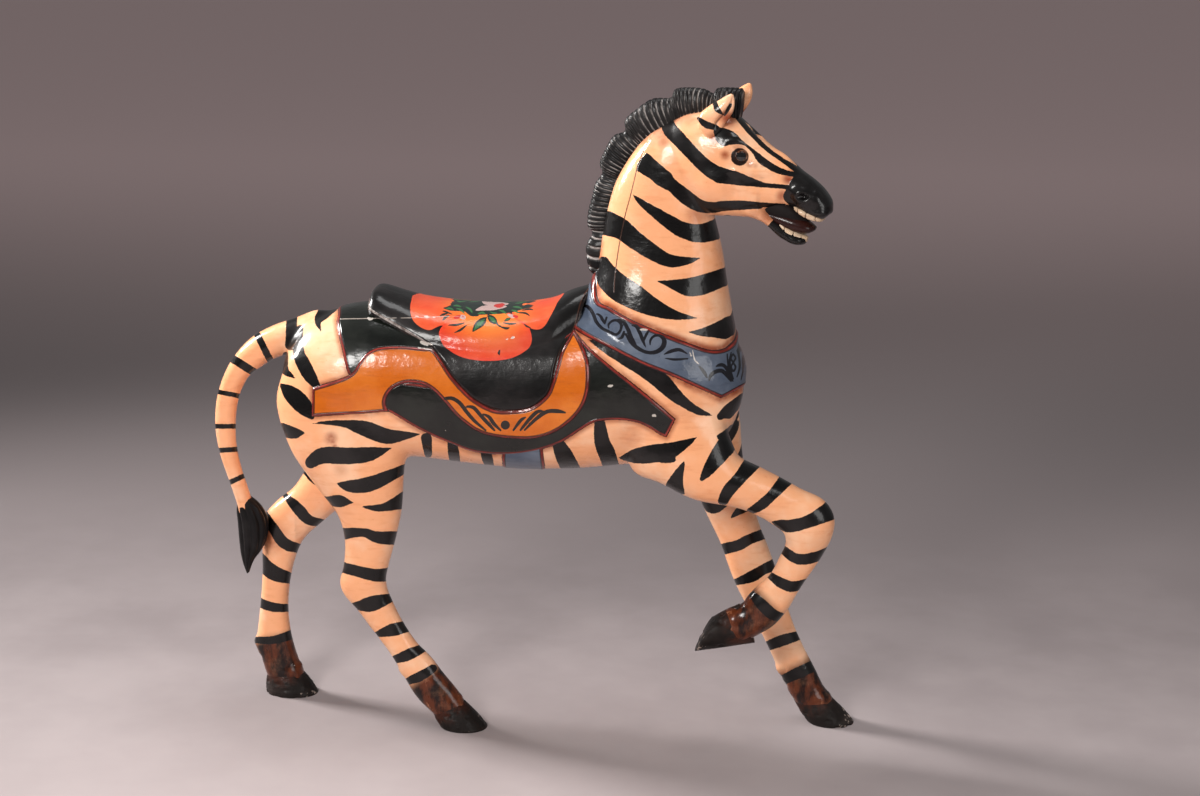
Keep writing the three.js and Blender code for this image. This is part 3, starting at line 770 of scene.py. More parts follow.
inkStrokes = {
    "flower": [
        [(425, 840, 18), (470, 838, 22), (520, 868, 24), (570, 932, 22), (620, 988, 20), (690, 1048, 10)],
        [(568, 892, 12), (612, 900, 22), (662, 955, 22), (712, 1010, 20), (748, 1048, 10)],
        [(675, 942, 8), (712, 960, 20), (748, 1008, 20), (788, 1048, 10)],
        [(1210, 932, 10), (1160, 922, 24), (1090, 926, 24), (1020, 972, 22), (945, 1046, 10)],
        [(1072, 924, 6), (1030, 925, 20), (980, 970, 22), (918, 1046, 12)],
        [(952, 962, 6), (920, 982, 20), (872, 1046, 12)], [(818, 1012, 56), (819, 1013, 56)],
        [(783, 522, 3), (777, 540, 14), (779, 556, 4)]]}
scrollStrokes = {
    "shoulder": [
        [(155, 257, 12), (198, 262, 22), (235, 310, 22), (260, 370, 22), (300, 415, 20), (350, 441, 20),
         (400, 460, 18), (430, 432, 16), (436, 390, 18), (410, 361, 16), (375, 362, 14), (346, 388, 12),
         (348, 415, 5)],
        [(262, 312, 8), (285, 325, 18), (305, 358, 18), (320, 384, 8)], [(332, 338, 12), (320, 376, 12)],
        [(418, 352, 10), (455, 372, 22), (485, 425, 26), (507, 480, 26), (546, 546, 12)],
        [(456, 440, 14), (442, 478, 20), (412, 492, 6)],
        [(512, 394, 8), (545, 402, 24), (566, 440, 24), (586, 490, 22), (610, 550, 6)],
        [(468, 455, 10), (505, 515, 22), (560, 560, 24), (625, 588, 22), (690, 582, 28), (735, 545, 32),
         (742, 498, 30), (712, 468, 20), (672, 470, 16), (645, 500, 14), (642, 535, 5)],
        [(596, 510, 6), (615, 460, 18), (636, 430, 6)],
        [(740, 602, 5), (790, 580, 22), (850, 568, 22), (908, 598, 5)],
        [(745, 628, 4), (820, 638, 16), (912, 632, 8)]],
    "chest": [
        [(190, 562, 10), (225, 600, 30), (255, 645, 26), (272, 684, 5)],
        [(290, 706, 8), (305, 660, 32), (345, 622, 38), (400, 606, 38), (440, 622, 36), (480, 670, 28),
         (512, 716, 6)],
        [(358, 566, 8), (400, 549, 30), (440, 556, 32), (475, 600, 28), (497, 652, 18), (518, 704, 5)],
        [(472, 440, 10), (480, 540, 14), (500, 640, 14), (530, 712, 8)],
        [(512, 425, 10), (498, 500, 16), (505, 600, 16), (535, 690, 10)],
        [(530, 440, 14), (556, 480, 14), (532, 525, 14), (512, 570, 16), (532, 612, 16), (556, 572, 16),
         (532, 525, 14), (510, 482, 14), (530, 440, 14)],
        [(570, 405, 8), (592, 480, 18), (596, 580, 18), (570, 670, 10)],
        [(600, 400, 8), (624, 500, 14), (630, 600, 14), (610, 700, 8)]]}
wreathStrokes = {
    "flower": [
        [(418, 248, 6), (440, 250, 18), (480, 246, 40), (560, 244, 56), (620, 262, 56), (700, 268, 44),
         (780, 262, 46), (860, 252, 46), (930, 244, 24), (992, 240, 4)],
        [(470, 222, 14), (600, 226, 22), (690, 222, 14), (800, 222, 14), (920, 228, 16)],
        [(692, 312, 8), (664, 340, 48), (632, 368, 40), (604, 404, 2)],
        [(706, 296, 10), (735, 325, 44), (766, 350, 6)], [(812, 334, 3), (835, 322, 18), (852, 316, 4)],
        [(560, 262, 20), (600, 290, 22), (640, 296, 10)],
        [(392, 298, 3), (415, 290, 13), (440, 284, 3)], [(410, 328, 4), (425, 312, 16), (452, 294, 3)],
        [(446, 360, 3), (500, 358, 14), (552, 345, 3)], [(486, 410, 3), (525, 392, 13), (568, 358, 3)],
        [(788, 372, 3), (825, 381, 15), (846, 376, 3)], [(755, 345, 3), (775, 362, 9), (800, 376, 4)],
        [(805, 345, 3), (850, 352, 13), (892, 350, 3)], [(898, 278, 2), (950, 282, 11), (978, 300, 4)],
        [(930, 264, 3), (970, 256, 9), (1000, 260, 3)], [(938, 350, 3), (960, 368, 9), (985, 378, 3)],
        [(408, 268, 2), (430, 272, 9), (472, 290, 2)], [(940, 236, 3), (966, 230, 8), (1002, 232, 2)]]}
leafStrokes = {
    "flower": [
        [(682, 322, 3), (660, 344, 22), (634, 368, 20), (612, 396, 2)],
        [(714, 306, 3), (738, 326, 20), (756, 342, 3)],
        [(428, 256, 3), (455, 250, 11), (480, 262, 3)], [(500, 250, 3), (530, 262, 11), (552, 284, 3)],
        [(560, 240, 3), (590, 258, 11), (604, 282, 3)], [(640, 286, 3), (668, 278, 11), (690, 290, 3)],
        [(860, 262, 3), (884, 268, 11), (908, 282, 3)], [(870, 240, 3), (900, 242, 11), (930, 252, 3)],
        [(780, 262, 3), (806, 272, 11), (826, 288, 3)], [(720, 272, 3), (742, 282, 9), (766, 282, 3)],
        [(480, 234, 3), (505, 232, 9), (530, 240, 3)], [(820, 326, 3), (835, 322, 9), (846, 318, 3)]]}
bloomStrokes = {
    "flower": [
        [(628, 262, 6), (670, 250, 26), (740, 244, 34), (800, 240, 18), (824, 238, 6)],
        [(528, 304, 20), (543, 308, 28), (552, 310, 14)], [(840, 292, 12), (862, 302, 22), (880, 304, 12)]]}
budStrokes = {
    "flower": [
        [(750, 234, 10), (775, 236, 20), (802, 230, 14)], [(488, 312, 12), (506, 308, 22), (520, 298, 8)],
        [(874, 300, 12), (894, 306, 16)], [(535, 300, 6), (545, 306, 8)]]}
chipStrokes = {
    "tack": [
        [(288, 157, 5), (296, 160, 8), (302, 158, 4)], [(1076, 378, 5), (1084, 378, 5)],
        [(1218, 474, 4), (1226, 476, 6)], [(480, 236, 3), (496, 244, 3)]],
    "flower": [
        [(290, 303, 5), (306, 306, 15), (320, 308, 4)], [(346, 308, 3), (356, 309, 5), (364, 309, 3)],
        [(856, 446, 5), (870, 441, 13), (882, 440, 4)], [(820, 455, 3), (834, 452, 7)],
        [(270, 470, 16), (290, 478, 20), (310, 490, 10)], [(250, 508, 4), (300, 514, 6), (340, 522, 3)],
        [(230, 302, 3), (250, 303, 4)]],
    "shoulder": [
        [(575, 425, 8), (600, 424, 12), (625, 428, 5)], [(345, 828, 10), (362, 826, 18), (374, 824, 8)],
        [(662, 1042, 8), (674, 1036, 14)], [(560, 1100, 6), (572, 1120, 16), (584, 1130, 6)],
        [(945, 575, 3), (960, 640, 8), (990, 670, 3)], [(925, 585, 3), (935, 610, 8)]]}
seamLine = [(195, 160), (300, 158), (420, 156), (540, 152), (620, 152)]
ropeLine = [(290, 84), (290, 118), (308, 138), (380, 180), (440, 214), (488, 246)]


def lineGap(place, line):
    gap = np.full(len(place), 9.0)
    for p, q in zip(line, line[1:]):
        gap = np.minimum(gap, lineDistance(place, p, q))
    return gap


def paintTack(obj):
    place = onPhoto(points(obj))
    for name, groups in (("ink", inkStrokes), ("scroll", scrollStrokes), ("wreath", wreathStrokes),
                         ("leaf", leafStrokes), ("bloom", bloomStrokes), ("bud", budStrokes), ("chip", chipStrokes)):
        depth = np.full(len(place), -6.0)
        for sheet, strokes in groups.items():
            depth = np.maximum(depth, strokeField(place, [onSheet(sheet, rows) for rows in strokes], 6.0) + 0.2)
        store(obj, name, depth)
    store(obj, "crack", lineGap(place, curve(onSheet("tack", seamLine))))
    store(obj, "rope", lineGap(place, curve(onSheet("tack", ropeLine))))
    store(obj, "heart", np.hypot(*(place - onSheet("flower", [(700, 235)])[0]).T))
    store(obj, "hollow", hollows(obj))


def animalParts(withSeat):
    # every lump of the carved animal that is merged into one skin
    parts = [
        loft(trunk, 64, 8, 2.25), loft(neck, 56, 8, 2.25, neckShare), loft(skull, 48, 8, 2.2, fullShare),
        loft(upperJaw, 40, 8, 2.3, fullShare), loft(lowerJaw, 32, 8, 2.3, fullShare),
        loft(hindNear, 40, 6), loft(hindFar, 40, 6), loft(foreNear, 40, 6), loft(foreFar, 40, 6),
        loft(tailRows, 24, 5, 2.0)]
    if withSeat:
        parts.append(loft(seatRows, 56, 8, 2.6))
    return joined(parts)


# places where the carver ran one form softly into the next: x, y, z, reach
softJoints = [
    (215, -60, 560, 110), (215, 60, 560, 110), (225, -45, 480, 90), (240, 45, 500, 90),
    (-250, -70, 560, 110), (-250, 70, 560, 110), (-215, -50, 470, 80), (-225, 50, 460, 80),
    (180, 0, 650, 110), (270, 0, 700, 70), (230, 0, 850, 60), (-345, 0, 620, 60), (-60, 0, 660, 120),
    (318, 0, 900, 34), (60, 0, 680, 90), (-380, 55, 470, 50), (-380, -55, 480, 50)]


softening = {"size": 0.0042, "everywhere": 5, "joints": 34}     # rounds of evening at that voxel size


def soften(obj, size):
    co = points(obj) / unit
    weight = np.zeros(len(co))
    for x, y, z, reach in softJoints:
        away = np.linalg.norm(co - (x, y, z), axis=1) / reach
        weight = np.maximum(weight, smoothstep(1, 0.45, away))
    scale = (softening["size"] / size) ** 2
    relax(obj, int(softening["everywhere"] * scale) + 1)
    relax(obj, int(softening["joints"] * scale), weight)


# Soft swellings and hollows of the carving: centre and reach in thousandths of the
# height, depth in mm. Those of the head are given before it is turned.
bodyRelief = [
    ((-300, -112, 560), (70, 60, 95), 5), ((-300, 112, 560), (70, 60, 95), 5),
    ((-240, -108, 500), (34, 40, 80), -4), ((-240, 108, 500), (34, 40, 80), -4),
    ((-330, -100, 480), (50, 50, 70), 3), ((-330, 100, 480), (50, 50, 70), 3),
    ((205, -100, 560), (60, 55, 75), 5), ((205, 100, 560), (60, 55, 75), 5),
    ((262, -80, 520), (34, 45, 60), -3.5), ((262, 80, 530), (34, 45, 60), -3.5),
    ((180, -95, 470), (40, 45, 42), 4), ((140, -100, 470), (26, 40, 60), -4),
    ((140, 100, 470), (26, 40, 60), -4), ((292, 0, 520), (26, 16, 60), -7),
    ((300, -36, 560), (40, 30, 48), 5), ((300, 36, 560), (40, 30, 48), 5),
    ((-240, -52, 190), (16, 26, 70), -3), ((-250, -62, 268), (26, 24, 26), 3),
    ((-410, 58, 285), (24, 24, 26), 3), ((-425, 68, 170), (12, 14, 70), -3),
    ((425, -68, 350), (26, 22, 34), 4), ((392, -70, 322), (20, 20, 20), -3),
    ((350, 66, 280), (22, 20, 34), 3), ((372, 70, 170), (12, 14, 60), -3),
    ((-200, -60, 130), (22, 24, 22), 2.5), ((-435, 58, 88), (20, 20, 22), 2.5),
    ((418, 60, 90), (20, 20, 22), 2.5), ((355, -60, 205), (20, 20, 22), 2.5),
    ((-200, -50, 90), (14, 18, 15), 5), ((-104, -50, 52), (10, 20, 9), 5), ((-174, -50, 58), (12, 18, 12), -4),
    ((-464, 50, 86), (14, 18, 15), 5), ((-388, 50, 48), (10, 20, 9), 5), ((-456, 50, 62), (12, 18, 10), -4),
    ((383, 50, 84), (14, 18, 15), 5), ((470, 50, 50), (10, 20, 9), 5), ((398, 50, 58), (12, 18, 10), -4)]
headRelief = [
    ((322, 36, 914), (26, 14, 20), -5.5), ((318, 36, 938), (30, 14, 12), 7), ((300, 38, 925), (14, 14, 16), 3),
    ((345, 33, 905), (14, 12, 12), 2.5), ((322, 38, 893), (26, 16, 11), 4.5), ((282, 44, 868), (36, 18, 34), 6),
    ((312, 42, 858), (16, 18, 34), -4), ((345, 34, 876), (34, 14, 14), -4), ((352, 34, 893), (40, 14, 9), 4),
    ((338, 0, 946), (22, 12, 16), -4), ((380, 0, 915), (40, 10, 14), 3), ((408, 29, 862), (19, 13, 16), 7),
    ((413, 30, 860), (11, 11, 7), -14), ((432, 24, 860), (14, 12, 14), 3),
    ((437, 18, 836), (16, 16, 9), 5), ((420, 26, 836), (14, 12, 8), 2.5),
    ((392, 28, 856), (16, 12, 14), -3), ((400, 20, 792), (18, 16, 9), 3.5), ((392, 0, 785), (18, 12, 8), 3),
    ((345, 30, 838), (26, 10, 8), -3), ((262, 44, 835), (20, 14, 26), 3), ((300, 34, 962), (22, 12, 12), 4)]


def carve(obj):
    co, normal = points(obj), normals(obj)
    move = np.zeros_like(co)
    for centre, radius, depth in bodyRelief:
        move += brush(co, normal, centre, radius, depth)
    share = headShare(co)
    x, y = unturned(co[:, 0], co[:, 1], share)
    straight = np.stack([x, y, co[:, 2]], 1)
    for (cx, cy, cz), radius, depth in headRelief:
        sides = (1, -1) if cy else (1,)
        for side in sides:
            move += brush(straight, normal, (cx, side * cy, cz), radius, depth)
    setPoints(obj, co + move)


def keepFaces(obj, keep):
    # keep marks vertices; a face stays where any of its vertices is marked
    mesh = bmesh.new()
    mesh.from_mesh(obj.data)
    mesh.verts.ensure_lookup_table()
    gone = [f for f in mesh.faces if not any(keep[v.index] for v in f.verts)]
    bmesh.ops.delete(mesh, geom=gone, context="FACES")
    mesh.to_mesh(obj.data)
    mesh.free()


def copied(obj, name):
    data = obj.data.copy()
    data.name = name
    made = bpy.data.objects.new(name, data)
    bpy.context.collection.objects.link(made)
    return made


coarse, fine = ((0.0042, 0.0026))
seamPlace = (195 * unit, 0, 636 * unit)     # hidden under the breast collar
seamNormal = (95, 0, 235)



def carvedSkin(name, withSeat, size):
    made = remeshed(name, *animalParts(withSeat), size)
    soften(made, size)
    carve(made)
    return made


body = carvedSkin("body", False, coarse)
dense = carvedSkin("dense", False, fine)
print("skins merged", len(body.data.vertices), len(dense.data.vertices))


def above(co):
    return (co - np.array(seamPlace)) @ np.array(seamNormal) / np.linalg.norm(seamNormal)


# neck and head in one piece, which overlaps the body by 10 mm under the collar
headPiece = copied(dense, "headAndNeck")
keepFaces(headPiece, above(points(headPiece)) > -0.004)


def profile(depth, low=-1.0, high=1.6):
    # the rounded edge of the tack, from its depth in pixels
    return smoothstep(low, high, depth)


def coverPiece(name, source, fields, keep, lift, sink=0.0015):
    # a layer of the tack: a copy of the skin, lifted inside its outline and sunk round it
    co = points(source)
    piece = copied(source, name)
    normal = normals(source)
    setPoints(piece, co + normal * np.where(keep > -1.0, lift, -sink)[:, None])     # the rim goes into the coat
    for key, values in fields.items():
        store(piece, key, values)
    keepFaces(piece, keep > -3.0)
    return piece


# metres that each part of the tack stands above the coat
thick = {"seat": 0.0085, "skirt": 0.0066, "cloth": 0.0034, "rear": 0.0040, "collar": 0.0048, "girth": 0.0022}

seated = carvedSkin("seated", True, fine)
seatFields = tackFields(points(seated))
seatDepth = seatFields["seat"]
flap = smoothstep(658, 605, points(seated)[:, 2] / unit)     # the seat's top has its own form
seatLift = thick["seat"] * flap * profile(seatDepth, -1, 2.4) + 0.001
seatPiece = coverPiece("seat", seated, seatFields, seatDepth, seatLift)

fields = tackFields(points(dense))
layers = np.maximum.reduce([fields["skirt"], fields["cloth"], fields["rear"]])
lift = np.maximum.reduce([thick[name] * profile(fields[name]) for name in ("skirt", "cloth", "rear")])
keep = np.where(fields["seat"] > 4, -9, layers)     # the seat covers the rest
skirtPiece = coverPiece("skirt", dense, fields, keep, lift)
collarPiece, girthPiece = (
    coverPiece(name, dense, fields, fields[name], thick[name] * profile(fields[name]))
    for name in ("collar", "girth"))

bodyFields = tackFields(points(body))
hidden = np.maximum.reduce([bodyFields[k] for k in ("skirt", "cloth", "rear", "seat", "girth")])
hidden = np.maximum(hidden, np.where(above(points(body)) > 0.006, 9, -9))
keepFaces(body, hidden < 5)
bpy.data.objects.remove(dense)
bpy.data.objects.remove(seated)
print("tack laid on", len(seatPiece.data.polygons), len(skirtPiece.data.polygons), len(collarPiece.data.polygons))


maneLook = {
    "sides": 40, "steps": 30, "fullness": 2.4,
    "stations": [0, 4.5, 8, 12, 16, 19, 24], "locks": [0, 6, 16, 28, 38, 49, 62],     # locks carved up to a station
    "grooveWidth": 0.34, "grooveSide": 0.22, "grooveEdge": 0.10, "sway": 0.35, "waver": 0.12}


def lockWave(lines, angle):
    # 0 in the narrow grooves between the carved locks, 1 along their middles
    sway = maneLook["sway"] * np.sin(angle)[None, :] ** 2 + maneLook["waver"] * np.sin(lines * 1.7)[:, None]
    count = np.interp(lines, maneLook["stations"], maneLook["locks"])[:, None]
    return np.abs(np.sin(np.pi * (count + sway)))


def maneShape(x, y, z, angle):
    lines = np.arange(len(x)) / maneLook["steps"]
    cut = np.exp(-(lockWave(lines, angle) / maneLook["grooveWidth"]) ** 2)
    centreX, middle, centreZ = x.mean(1, keepdims=True), y.mean(1, keepdims=True), z.mean(1, keepdims=True)
    side, edge = 1 - maneLook["grooveSide"] * cut, 1 - maneLook["grooveEdge"] * cut
    return centreX + (x - centreX) * edge, middle + (y - middle) * side, centreZ + (z - centreZ) * edge


mane = makeMesh("mane", *loft(
    maneRows, maneLook["sides"], maneLook["steps"], maneLook["fullness"], maneShare, maneShape))
along = np.arange((len(maneRows) - 1) * maneLook["steps"] + 1) / maneLook["steps"]
angle = 2 * np.pi * np.arange(maneLook["sides"]) / maneLook["sides"]
wave = lockWave(along, angle)
# pale lines along the grooves: painted highlight, with worn paint in part
maneGlint = smoothstep(0.42, 0.24, wave).ravel()
maneRoot = (smoothstep(-0.55, -0.95, np.cos(angle))[None, :] * np.ones_like(wave)).ravel()


tuftLook = {"sides": 96, "steps": 14, "fullness": 2.0, "winding": 0.5, "groove": 0.16, "locks": 9}


def tuftShape(x, y, z, angle):
    # long carved locks that wind a little towards the tip
    fall = np.linspace(0, 1, len(x))[:, None]
    turn = angle[None, :] + tuftLook["winding"] * fall
    ridge = 1 - np.abs(np.sin(tuftLook["locks"] / 2 * turn))
    cut = 1 - tuftLook["groove"] * ridge ** 1.5 * smoothstep(0, 0.2, fall)
    centreX, middle = x.mean(1, keepdims=True), y.mean(1, keepdims=True)
    return centreX + (x - centreX) * cut, middle + (y - middle) * cut, z


tuft = makeMesh("tuft", *loft(
    tuftRows, tuftLook["sides"], tuftLook["steps"], tuftLook["fullness"], None, tuftShape))
for name in ("glint", "root"):
    store(tuft, name, np.zeros(len(tuft.data.vertices)))


earLook = {"sides": 56, "steps": 12, "fullness": 2.2, "openingTurn": 0.8, "openingWidth": 0.40, "openingDepth": 0.62,
           "shift": {-1: (0, 0), 1: (5, 8)}}     # the far ear stands forward and higher


def earMesh(side):
    def shape(x, y, z, angle):
        # the opening is hollowed on the outer front of the ear
        rise = np.linspace(0, 1, len(x))[:, None]
        turn = np.angle(np.exp(1j * (angle - side * earLook["openingTurn"])))[None, :]
        gap = np.exp(-(turn / earLook["openingWidth"]) ** 2)
        gap = gap * smoothstep(0.15, 0.45, rise) * smoothstep(1.0, 0.8, rise)
        middle, centre = y.mean(1, keepdims=True), x.mean(1, keepdims=True)
        deep = earLook["openingDepth"]
        return x + (centre - x) * deep * gap, y + (middle - y) * deep * gap, z
    forward, higher = earLook["shift"][side]
    rows = [[a + forward, b + higher, c + forward, d + higher, half, side * middle]
            for a, b, c, d, half, middle in earRows]
    return loft(rows, earLook["sides"], earLook["steps"], earLook["fullness"], fullShare, shape)


ears = makeMesh("ears", *joined([earMesh(-1), earMesh(1)]))


hoofLook = {
    "sides": 80, "fullness": 2.1, "half": 25, "flare": 7, "inset": 22, "chipDepth": 0.006, "chipScale": 0.11,
    "grow": [(-0.25, 0.74), (0.05, 0.86), (0.5, 0.99), (0.93, 1.0), (1.0, 0.96)]}     # way down, share of the width


def hoofMesh(top, sole, middle, index):
    top, sole = np.array(top, float), np.array(sole, float)
    rows = []
    for t, grow in hoofLook["grow"]:
        x1, z1, x2, z2 = top + (sole - top) * t
        half = (hoofLook["half"] + hoofLook["flare"] * max(t, 0)) * grow
        inset = (1 - grow) * hoofLook["inset"] * np.sign(x1 - x2)
        rows.append([x1 - inset, z1, x2 + inset, z2, half, middle])
    sides, fullness = hoofLook["sides"], hoofLook["fullness"]
    wall, rim = spline(rows[:4], 12), np.array(rows[4:], float)
    verts, faces = skinOf(np.concatenate([rings(part, sides, fullness) for part in (wall, rim)]))
    place = verts / unit * hoofLook["chipScale"] + index * 7.3     # other chips on each hoof
    chip = np.sin(place[:, 0] * 1.7) * np.sin(place[:, 1] * 2.3 + 1) * np.sin(place[:, 2] * 3.1)
    out = verts - verts.mean(0)
    out /= np.linalg.norm(out, axis=1)[:, None]
    verts = verts - out * (np.clip(chip - 0.3, 0, 1) * hoofLook["chipDepth"])[:, None]
    verts[:, 2] = np.maximum(verts[:, 2], 0.0)
    return verts, faces


def hoofEdgeWear(co):
    # most worn at the sole's rim and at the coronet
    wear = np.zeros(len(co))
    for topEdge, soleEdge, y in hoofEdges:
        top, sole = middleOf(topEdge, y), middleOf(soleEdge, y)
        run = sole - top
        t = ((co - top) @ run) / (run @ run)
        near = np.linalg.norm(co - (top + sole) / 2, axis=1) < 0.09
        wear = np.where(near, 0.10 + 0.40 * smoothstep(0.70, 1.0, t) + 0.18 * smoothstep(0.2, 0.0, t), wear)
    return wear


hoovesPiece = makeMesh("hooves", *joined([hoofMesh(*hoof, i) for i, hoof in enumerate(hoofEdges)]))
tongue = makeMesh("tongue", *loft(tongueRows, 24, 6, 2.2, fullShare))
throat = makeMesh("throat", *loft(throatRows, 24, 6, 2.6, fullShare))
toothRows = {
    "upperTeeth": [[398, 846, 398, 836.5, 18, 0], [406, 843, 405, 832, 23, 0], [417, 839, 415, 826.5, 24, 0],
                   [428, 835, 427, 822.5, 22, 0], [436, 833, 435, 821.5, 15, 0], [439, 832, 438, 823, 9, 0]],
    "lowerTeeth": [[377, 820, 377, 809, 17, 0], [386, 813.5, 386, 799, 19, 0], [397, 807.5, 396, 792, 18, 0],
                   [407, 802, 406, 789, 14, 0], [412, 799.5, 411, 789, 9, 0], [415, 798, 414, 790, 5, 0]]}


toothForm = {"rings": 17.0, "gapWidth": 0.07, "gapSide": 0.12, "gapEdge": 0.10}


def toothShape(x, y, z, angle):
    # narrow gaps between the teeth
    steps = np.arange(len(x)) / toothForm["rings"] + 0.3
    gap = np.exp(-((steps - np.round(steps)) / toothForm["gapWidth"]) ** 2)[:, None]
    middle = z.mean(1, keepdims=True)
    return x, y * (1 - toothForm["gapSide"] * gap), middle + (z - middle) * (1 - toothForm["gapEdge"] * gap)


teeth = [makeMesh(name, *loft(rows, 32, 14, 3.0, fullShare, toothShape)) for name, rows in toothRows.items()]
print("pieces modelled")


def group(name, inputs, outputs):
    tree = bpy.data.node_groups.new(name, "ShaderNodeTree")
    for label, kind, value in inputs:
        socket = tree.interface.new_socket(name=label, in_out="INPUT", socket_type="NodeSocket" + kind)
        socket.default_value = value
    for label, kind in outputs:
        tree.interface.new_socket(name=label, in_out="OUTPUT", socket_type="NodeSocket" + kind)
    return tree, add(tree, "NodeGroupInput").outputs, add(tree, "NodeGroupOutput").inputs


def use(tree, shared, **values):
    made = add(tree, "ShaderNodeGroup", node_tree=shared)
    for key, value in values.items():
        if isinstance(value, bpy.types.NodeSocket):
            tree.links.new(value, made.inputs[key])
        else:
            made.inputs[key].default_value = value
    return made.outputs


def paintEdgeGroup():
    # mask of a painted shape from the depth inside it, with a hand-brushed edge
    tree, given, result = group("paintEdge", [("Depth", "Float", 0.0), ("Ragged", "Float", 0.8)], [("Mask", "Float")])
    fineCloud = calc(tree, "SUBTRACT", cloud(tree, 240, 3), 0.5)
    broadCloud = calc(tree, "SUBTRACT", cloud(tree, 60, 2), 0.5)
    wobble = calc(tree, "ADD", calc(tree, "MULTIPLY", fineCloud, 0.7), broadCloud)
    depth = calc(tree, "MULTIPLY_ADD", wobble, given["Ragged"], given["Depth"])
    tree.links.new(ramp(tree, depth, -0.16, 0.16), result["Mask"])
    return tree


def agedPaintGroup():
    # hand-brushed oil paint: mottling, streaks, dirt, and painted shade darkening the creases, in one colour
    tree, given, result = group("agedPaint", [
        ("Base", "Color", (0.8, 0.8, 0.8, 1)), ("Light", "Color", (0.9, 0.9, 0.9, 1)),
        ("Deep", "Color", (0.5, 0.5, 0.5, 1)), ("Hollow", "Float", 0.0), ("Grime", "Float", 0.5)],
        [("Colour", "Color"), ("Roughness", "Float")])
    broad = cloud(tree, 7, 4, rough=0.6)
    streak = cloud(tree, 26, 4, (0.5, 1, 2.6), 0.6)
    colour = blendColour(tree, ramp(tree, broad, 0.42, 0.68), given["Base"], given["Light"])
    colour = blendColour(tree, calc(tree, "MULTIPLY", ramp(tree, streak, 0.5, 0.78), 0.45), colour, given["Deep"])
    speck = ramp(tree, cloud(tree, 170, 2), 0.70, 0.78)
    colour = blendColour(tree, calc(tree, "MULTIPLY", speck, 0.5), colour, given["Deep"])
    # darker in the creases: dirt together with painted shade
    crease = calc(tree, "MULTIPLY", ramp(tree, given["Hollow"], 0.04, 0.5), given["Grime"])
    colour = blendColour(tree, crease, colour, (0.06, 0.02, 0.01, 1))
    tree.links.new(colour, result["Colour"])
    tree.links.new(ramp(tree, broad, 0.3, 0.75, 0.24, 0.42), result["Roughness"])
    return tree


def brushMarksGroup():
    # height of dried brush marks, grain and small dents in the varnished wood
    tree, given, result = group("brushMarks", [("Strength", "Float", 1.0)], [("Height", "Float")])
    marks = cloud(tree, 75, 4, (0.35, 1, 1.9), 0.65)
    dents = ramp(tree, cloud(tree, 30, 3), 0.3, 0.75)
    grain = cloud(tree, 420, 2)
    total = calc(tree, "MULTIPLY_ADD", marks, 0.55, calc(tree, "MULTIPLY", dents, 0.9))
    total = calc(tree, "MULTIPLY_ADD", grain, 0.10, total)
    tree.links.new(calc(tree, "MULTIPLY", total, given["Strength"]), result["Height"])
    return tree


def chipsGroup():
    # small flakes where the paint is lost, thicker where Amount is high
    tree, given, result = group("paintChips", [("Amount", "Float", 0.0)], [("Mask", "Float")])
    place = add(tree, "ShaderNodeTexCoord").outputs["Object"]
    cells = add(tree, "ShaderNodeTexVoronoi", {"Vector": place, "Scale": 130}).outputs["Distance"]
    patch = calc(tree, "ADD", cloud(tree, 34, 5, rough=0.7), calc(tree, "MULTIPLY", given["Amount"], 0.4))
    worn = calc(tree, "SUBTRACT", patch, calc(tree, "MULTIPLY", cells, 0.18))
    tree.links.new(ramp(tree, worn, 0.70, 0.715), result["Mask"])
    return tree


paintEdge = paintEdgeGroup()
agedPaint = agedPaintGroup()
brushMarks = brushMarksGroup()
paintChips = chipsGroup()


def painted(tree, paint, hollow=0.0, grimeAndShade=0.0):
    base, light, deep = paint
    return use(tree, agedPaint, Base=base, Light=light, Deep=deep, Hollow=hollow, Grime=grimeAndShade)


varnish = {"coat": 0.5, "coatRoughness": 0.13, "specular": 0.14, "bump": 0.7, "depth": 0.0009}


def finishPaint(tree, shader, colour, roughness, height, coat=varnish["coat"], distance=varnish["depth"]):
    tree.links.new(colour, shader.inputs["Base Color"])
    tree.links.new(roughness, shader.inputs["Roughness"])
    shader.inputs["Coat Weight"].default_value = coat
    shader.inputs["Coat Roughness"].default_value = varnish["coatRoughness"]
    shader.inputs["Specular IOR Level"].default_value = varnish["specular"]
    bump = add(tree, "ShaderNodeBump", {"Height": height, "Distance": distance, "Strength": varnish["bump"]})
    tree.links.new(bump.outputs[0], shader.inputs["Normal"])
    tree.links.new(bump.outputs[0], shader.inputs["Coat Normal"])


coatLook = {     # paints are base, light and deep colours
    "cream": ((0.95, 0.44, 0.22, 1), (0.98, 0.58, 0.36, 1), (0.76, 0.26, 0.10, 1)), "grimeAndShade": 0.55,
    "black": ((0.004, 0.0035, 0.0035, 1), (0.012, 0.010, 0.010, 1), (0.002, 0.002, 0.002, 1)),
    "maroonDark": (0.010, 0.004, 0.003, 1), "maroon": (0.115, 0.026, 0.008, 1), "maroonWorn": (0.42, 0.17, 0.085, 1),
    "brown": (0.30, 0.055, 0.018, 1), "eyeRing": (0.014, 0.005, 0.003, 1), "crack": (0.05, 0.02, 0.012, 1),
    "bare": (0.62, 0.52, 0.45, 1), "ragged": 1.1}


